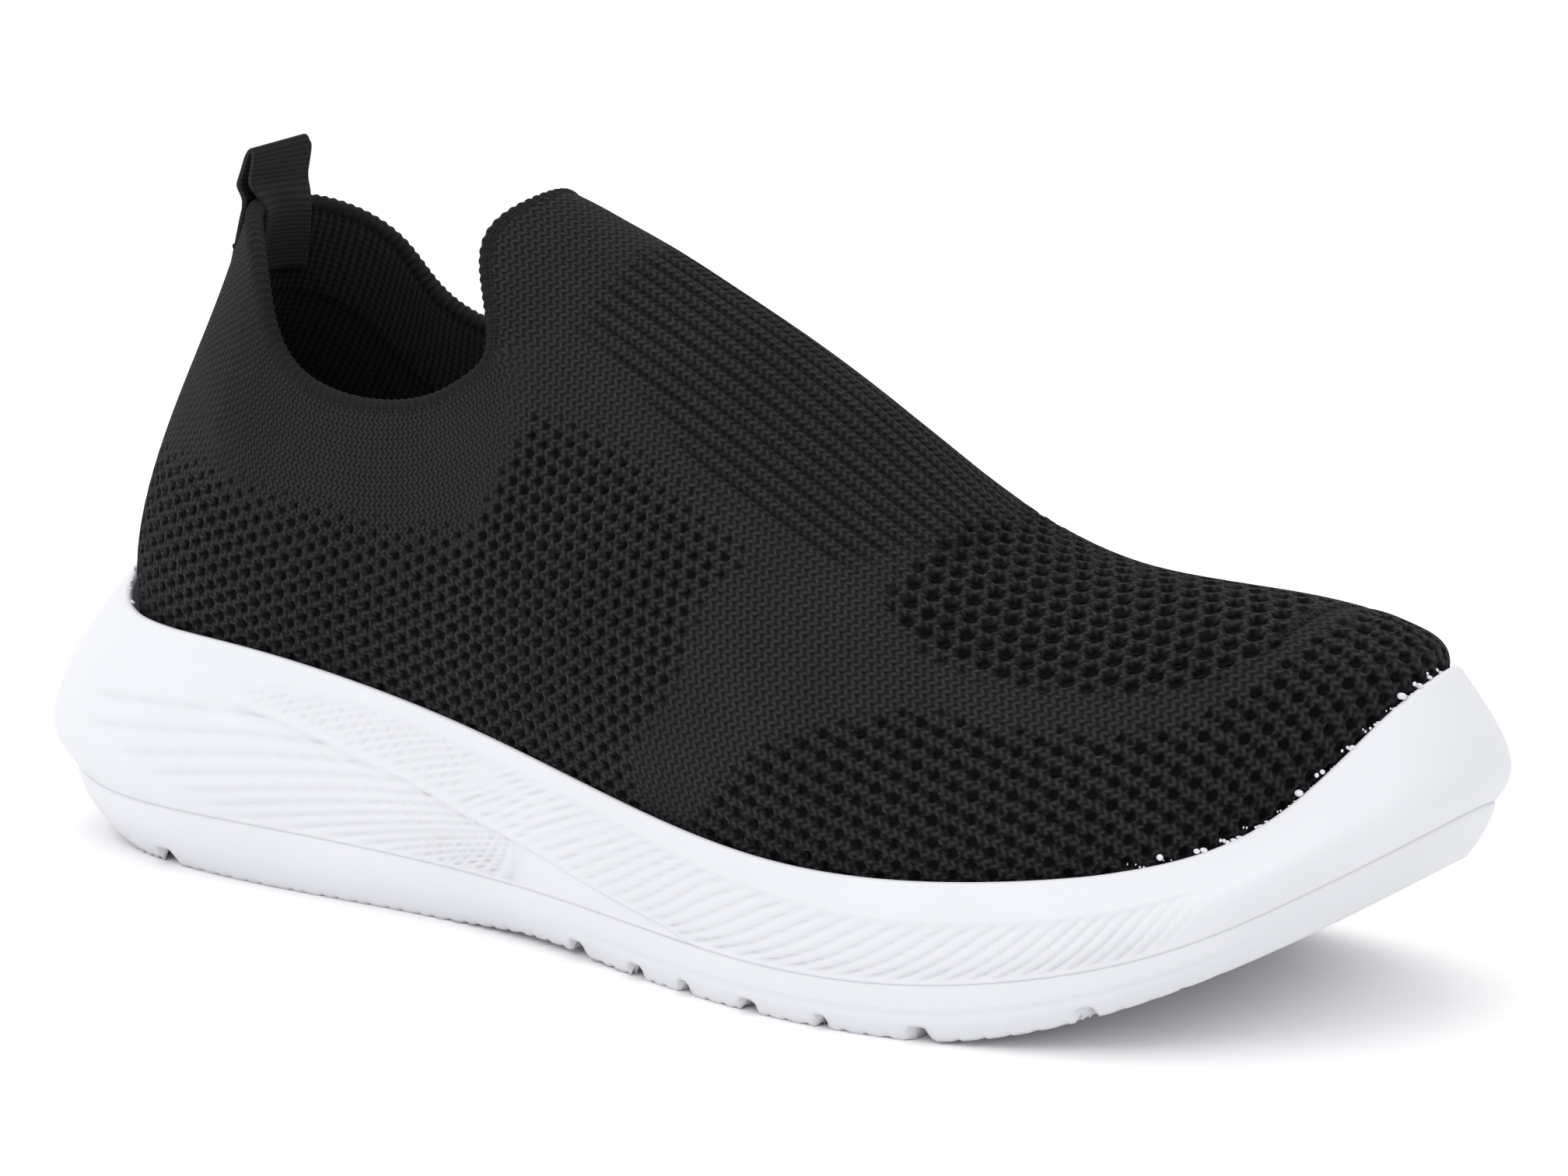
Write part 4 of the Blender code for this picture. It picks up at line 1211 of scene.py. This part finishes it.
@dataclass
class KnitUpper:
    """The knitted upper, its lining and the thread edge round the opening."""

    levels: int = 5
    pieces: int = 5
    lining_depth: float = 2.9
    edge_radius: float = 1.35
    edge_steps: int = 1400
    edge_columns: int = 20
    edge_place: tuple = (1.35, 0.9)
    thread_pitch: float = 1.7
    thread_relief: float = 0.12
    lining_pitch: float = 1.6
    lining_relief: float = 0.3

    def __post_init__(self) -> None:
        """Makes the control points that knit, lining and edge share."""
        self.cage = Cage()

    def build_knit(self) -> None:
        """The outer knit, cut into a few meshes that share their normals."""
        coarse = self.cage.mesh("knit")
        lay_flat(coarse)
        mesh = refine(coarse, self.levels)
        points = read_points(mesh)
        normals = read_normals(mesh)
        pattern = read_pattern(mesh, "pattern")
        edge = read_pattern(mesh, "edge")
        spots = points / MM + (*LAST.middle, 0)
        zones = KnitZones(spots, pattern, self.cage.middle)
        depth, dark = zones.relief()
        points = points - normals * depth[:, None] * MM
        write(mesh.vertices, "co", points)
        mesh.update()
        # painted shade of openings, rib grooves and crease, stored per point
        put_attribute(mesh, "painted_knit_shade", dark)
        on_side = (edge[:, 1] >= 0) * ease(116, 104, spots[:, 0])
        put_attribute(mesh, "collar", on_side * ease(34, 20, edge[:, 1]))
        self.split(mesh, read_normals(mesh))

    def split(self, mesh: Mesh, normals: Array) -> None:
        """Cuts the knit across into pieces of about as many faces each.

        Args:
            mesh: the whole knit.
            normals: its normal at each point, which the pieces keep so that no cut shows.
        """
        keep = mesh.attributes.new("lie", "FLOAT_VECTOR", "POINT")
        write(keep.data, "vector", normals)
        x = read(mesh.polygons, "center", 3)[:, 0]
        cuts = np.quantile(x, np.linspace(0, 1, self.pieces + 1))
        cuts[0] -= 1
        for n in range(self.pieces):
            bm = bmesh.new()
            bm.from_mesh(mesh)
            outside = (x <= cuts[n]) | (x > cuts[n + 1])
            bm.faces.ensure_lookup_table()
            gone = [bm.faces[i] for i in np.flatnonzero(outside)]
            bmesh.ops.delete(bm, geom=gone, context="FACES")
            part = to_mesh(bm, "knit")
            lie = read(part.attributes["lie"].data, "vector", 3)
            part.attributes.remove(part.attributes["lie"])
            piece = Piece(f"knit_upper_{n + 1}", part, Finish.KNIT)
            part.normals_split_custom_set_from_vertices(lie)
            piece.stands_for("black_knit", "knit_upper")

    def build_lining(self) -> None:
        """The ribbed lining inside the upper."""
        coarse = self.cage.mesh("lining", self.lining_depth)
        mesh = refine(coarse, self.levels - 1)
        points = read_points(mesh)
        normals = read_normals(mesh)
        edge = read_pattern(mesh, "edge")
        rib = 0.5 + 0.5 * np.cos(FULL_TURN * edge[:, 0] / self.lining_pitch)
        fade = ease(0, 2, edge[:, 1])
        ledge = ease(17.5, 16, edge[:, 1]) * 0.5 * (edge[:, 1] >= 0)
        depth = (self.lining_relief * rib * fade + ledge)[:, None] * MM
        points = points - normals * depth
        write(mesh.vertices, "co", points)
        mesh.update()
        mesh.uv_layers.remove(mesh.uv_layers["pattern"])
        mesh.uv_layers["edge"].name = "pattern"
        mesh.flip_normals()
        Piece("lining_rib", mesh, Finish.LINING).stands_for("black_lining", "knit_lining")

    def build_edge(self) -> None:
        """The rolled edge, wrapped with thread."""
        control, out = self.cage.opening()
        line = soft_loop(control, self.edge_steps)
        out = soft_loop(out, self.edge_steps)
        along = unit(np.roll(line, -1, 0) - np.roll(line, 1, 0))
        out = unit(out - along * np.sum(out * along, axis=1)[:, None])
        up = np.cross(along, out)
        up *= np.sign(up[0, 2])
        lengths = np.linalg.norm(np.roll(line, -1, 0) - line, axis=1)
        pitch = self.thread_pitch
        at = np.r_[0, np.cumsum(lengths)]
        at *= round(at[-1] / pitch) * pitch / at[-1]
        inward, above = self.edge_place
        centre = line - out * inward + up * above
        steps = self.edge_columns
        rings = []
        for k in range(steps + 1):
            angle = FULL_TURN * (k % steps) / steps
            wrap = np.cos(FULL_TURN * (at[:-1] / pitch + self.thread_relief * math.sin(angle)))
            radius = self.edge_radius + self.thread_relief * wrap
            wide = 1.9 if math.sin(angle) < 0 else 1.0
            rings.append(centre + out * (radius * 1.15 * math.cos(angle))[:, None]
                         + up * (radius * wide * math.sin(angle))[:, None])
        points = np.stack(rings, axis=1)
        around = at[:, None] * np.ones(steps + 1)
        turned = np.ones_like(around) * np.arange(steps + 1) * 0.5
        mesh = bent_grid("edge", LAST.place(points), np.stack([around, turned], axis=2))
        Piece("overlock_edge", mesh, Finish.THREAD).stands_for("black_thread", "collar_overlock")

    def build(self) -> None:
        """Makes all of the upper."""
        self.build_knit()
        self.build_lining()
        self.build_edge()


@dataclass
class Footbed:
    """The padded insole inside the shoe."""

    inset: float = 11.6
    thickness: float = 5.1
    above: float = 2.2
    stations: int = 220
    profile: tuple = ((0.6, 0.0), (0.0, 0.6), (0.0, 4.3), (0.3, 4.9), (0.9, 5.1))
    top_rows: int = 12
    under_rows: int = 3

    def build(self) -> None:
        """The footbed as one soft pad with rounded edges."""
        last = Last(stations=self.stations)
        edge = last.rim_inset + self.inset
        rows = []
        for inward, up in self.profile:
            ring = last.ring(edge + inward, last.cup_floor)
            ring[:, 2] += self.above + up
            rows.append(ring)
        sole = Sole(stations=self.stations)
        top = sole.close(rows[-1], self.top_rows,
                         lambda r: last.cup_floor(r[:, 0]) + self.above + self.thickness)
        under = sole.close(rows[0], self.under_rows, lambda r: last.cup_floor(r[:, 0]) + self.above)
        rows = under[::-1] + rows + top
        points = np.stack(rows, axis=1)
        closed = np.concatenate([points, points[:1]])
        mesh = bent_grid("footbed", LAST.place(points), closed[:, :, :2])
        piece = Piece("insole_pad", mesh, Finish.FOOTBED)
        piece.stands_for("black_lining", "insole_foam", "insole_cover")


@dataclass
class PullTab:
    """The webbing tab: sewn outside and inside the heel, folded into a loop above it."""

    width: float = 16.5
    thick: float = 0.9
    steps: int = 90
    columns: int = 36
    path: tuple = ((0.75, -11), (0.8, -7), (0.85, -3), (0.8, 0.5), (0.5, 2.5), (0.1, 5.0), (-0.2, 7.5),
                   (-0.4, 9.9), (-0.8, 11.3), (-1.3, 11.7), (-1.8, 11.3), (-2.1, 9.9), (-2.3, 7.5),
                   (-2.6, 5.0), (-3.3, 3.0), (-3.6, 0.5), (-3.6, -3), (-3.3, -7), (-3.0, -12))
    wall_share: float = 0.7
    tilt: float = 0.1
    corner: tuple = (6.2, 8.3, 1.5)
    lean: float = 0.3
    bar: tuple = (0.5, 12, 1.3, -8.5)
    bar_grid: tuple = (12, 48)
    bar_pitch: float = 0.6
    edge_points: int = 880
    edge_reach: int = 60
    blend_reach: float = 3

    def wall(self, cage: Cage, up: Array) -> Array:
        """How far the heel's wall stands out behind its edge.

        Args:
            cage: the upper's control points.
            up: heights from that edge, negative below it.

        Returns:
            The distance at each height, 0 above the edge.
        """
        line = cage.rings[0][::-1]
        behind = line[0, 0] - line[:, 0]
        below = line[0, 2] - line[:, 2]
        return self.wall_share * np.interp(np.clip(-up, 0, None), below, behind)

    def frames(self, cage: Cage, across: Array) -> tuple[Array, Array]:
        """The opening's edge behind the heel.

        Args:
            cage: the upper's control points.
            across: places across the shoe.

        Returns:
            The edge's points and the directions out of it, one row per place.
        """
        control, out = cage.opening()
        near = np.r_[-self.edge_reach:self.edge_reach + 1]
        spot = soft_loop(control, self.edge_points)[near]
        way = soft_loop(out, self.edge_points)[near]
        order = np.argsort(spot[:, 1])
        at = spot[order, 1]
        base = np.stack([np.interp(across, at, spot[order, n]) for n in range(3)], axis=1)
        out = np.stack([np.interp(across, at, way[order, n]) for n in range(3)], axis=1)
        return base, unit(out)

    def strip(self, cage: Cage) -> tuple[Array, Array]:
        """The webbing as one closed tube.

        Args:
            cage: the upper's control points.

        Returns:
            Its points, and the length along each row.
        """
        section = spline(self.path, np.linspace(0, len(self.path) - 1, self.steps))
        section[:, 0] += self.wall(cage, section[:, 1])
        turn = unit(np.gradient(section, axis=0))
        side = np.c_[-turn[:, 1], turn[:, 0]]
        across = np.linspace(-self.width / 2, self.width / 2, self.columns + 1)
        base, out = self.frames(cage, across)
        middle = base[self.columns // 2]
        start, end, cut = self.corner
        layers = []
        for layer in (0.5, -0.5):
            grid = []
            for y, foot, way in zip(across, base, out):
                shift = section + side * layer * self.thick
                top = ease(7, 12, section[:, 1])
                up = shift[:, 1] - cut * ease(start, end, y) ** 2 * top + self.tilt * y * top
                free = ease(1.0, 5.0, up)[:, None]
                away = way * (1 - free) + np.array([-1.0, 0, 0]) * free
                root = foot * (1 - free) + np.array([middle[0], foot[1], middle[2]]) * free
                lean = np.clip(up - 4, 0, None) * self.lean
                grid.append(root + away * shift[:, :1] + np.stack([lean, up * 0, up], axis=1))
            layers.append(np.array(grid))
        outer, inner = layers
        lengths = np.r_[0, np.cumsum(np.linalg.norm(np.diff(section, axis=0), axis=1))]
        return np.concatenate([outer, inner[::-1]]), lengths

    def build_strip(self, cage: Cage) -> None:
        """The webbing as one strip with thickness, bending between heel and loop."""
        loop, lengths = self.strip(cage)
        half = len(loop) // 2
        u = np.ones(len(loop) + 1)[:, None] * lengths
        across = np.r_[np.linspace(0, self.width, half), np.linspace(self.width, 0, half), 0]
        v = across[:, None] * np.ones(self.steps)
        mesh = bent_grid("tab", LAST.place(loop), np.stack([u, v], axis=2))
        close_ends(mesh)
        piece = Piece("heel_pull_tab", mesh, Finish.WEBBING)
        piece.stands_for("black_webbing", "pull_tab", "tab_anchor", body=None)
        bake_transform(piece.shape)

    def build_bar(self, cage: Cage) -> None:
        """The dense bar of thread that sews down the outer leg."""
        thick, width, high, up = self.bar
        sides, steps = self.bar_grid
        across = np.linspace(-width / 2, width / 2, steps + 1)
        base, out = self.frames(cage, across)
        away = 1.0 + self.wall(cage, np.array([up])) + self.thick / 2 + 0.1
        turns = np.linspace(0, FULL_TURN, sides + 1)
        stitch = 1 + 0.15 * np.cos(FULL_TURN * across / self.bar_pitch)
        rows = [base + out * (away + thick * np.cos(a) * stitch)[:, None]
                + np.array([0, 0, 1.0]) * (up + high / 2 * np.sin(a)) for a in turns[:-1]]
        points = np.stack(rows)
        pattern = np.stack(np.meshgrid(turns, across, indexing="ij"), axis=2)
        mesh = bent_grid("bar", LAST.place(points), pattern)
        close_ends(mesh)
        Piece("tab_thread_bar", mesh, Finish.THREAD).stands_for("black_thread", "tab_bartack")

    def build(self, cage: Cage) -> None:
        """Makes the webbing and its bar of thread."""
        self.build_strip(cage)
        self.build_bar(cage)


@dataclass
class Studio:
    """A pale floor, soft light and the camera."""

    azimuth: float = 33
    elevation: float = 12
    distance: float = 0.8
    lens: float = 104.3
    target: tuple = (145, 0, 50)
    shift: tuple = (0.0139, 0.0332)
    aim: tuple = (0, 0, 0.05)
    sky: float = 1.03
    floor_size: float = 40

    def build(self) -> None:
        """Sets up floor, light and camera."""
        bpy.context.scene.view_settings.view_transform = "Standard"
        bm = bmesh.new()
        bmesh.ops.create_grid(bm, x_segments=1, y_segments=1, size=self.floor_size)
        mesh = to_mesh(bm, "floor")
        n = Nodes("pale_floor")
        mesh.materials.append(n.finish(Base_Color=(0.97, 0.97, 0.97), Roughness=0.9,
                                       Specular_IOR_Level=0.1))
        add_object("floor", mesh)
        world = bpy.data.worlds.new("studio")
        world.use_nodes = True
        sky = world.node_tree.nodes["Background"]
        sky.inputs["Color"].default_value = (1, 1, 1, 1)
        sky.inputs["Strength"].default_value = self.sky
        bpy.context.scene.world = world
        self.light("key", (-0.25, -0.95, 0.9), 0.8, 3.6)
        self.light("top", (-0.1, 0.2, 1.4), 1.0, 4)
        self.camera()

    def light(self, name: str, spot: tuple, size: float, power: float) -> None:
        """A square soft light aimed at the shoe.

        Args:
            name: its name.
            spot: where it stands, in metres.
            size: the length of its side, in metres.
            power: its power in watts.
        """
        lamp = bpy.data.lights.new(name, "AREA")
        lamp.size = size
        lamp.energy = power
        made = add_object(name, lamp)
        made.location = spot
        made.rotation_euler = (Vector(self.aim) - Vector(spot)).to_track_quat("-Z", "Y").to_euler()

    def camera(self) -> None:
        """The camera at three-quarter front height."""
        a, e = math.radians(self.azimuth), math.radians(self.elevation)
        back = Vector((math.sin(a) * math.cos(e), -math.cos(a) * math.cos(e), math.sin(e)))
        view = bpy.data.cameras.new("camera")
        view.lens = self.lens
        view.shift_x, view.shift_y = self.shift
        view.clip_start = 0.01
        made = add_object("camera", view)
        made.location = Vector(LAST.place(self.target)) + back * self.distance
        made.rotation_euler = (-back).to_track_quat("-Z", "Y").to_euler()
        bpy.context.scene.camera = made


def main() -> None:
    """Builds the whole shoe and its setting."""
    logging.basicConfig(level=logging.INFO, format="%(message)s")
    Sole().build()
    CementFlecks().build()
    upper = KnitUpper()
    upper.build()
    Footbed().build()
    PullTab().build(upper.cage)
    Studio().build()


if __name__ == "__main__":
    main()
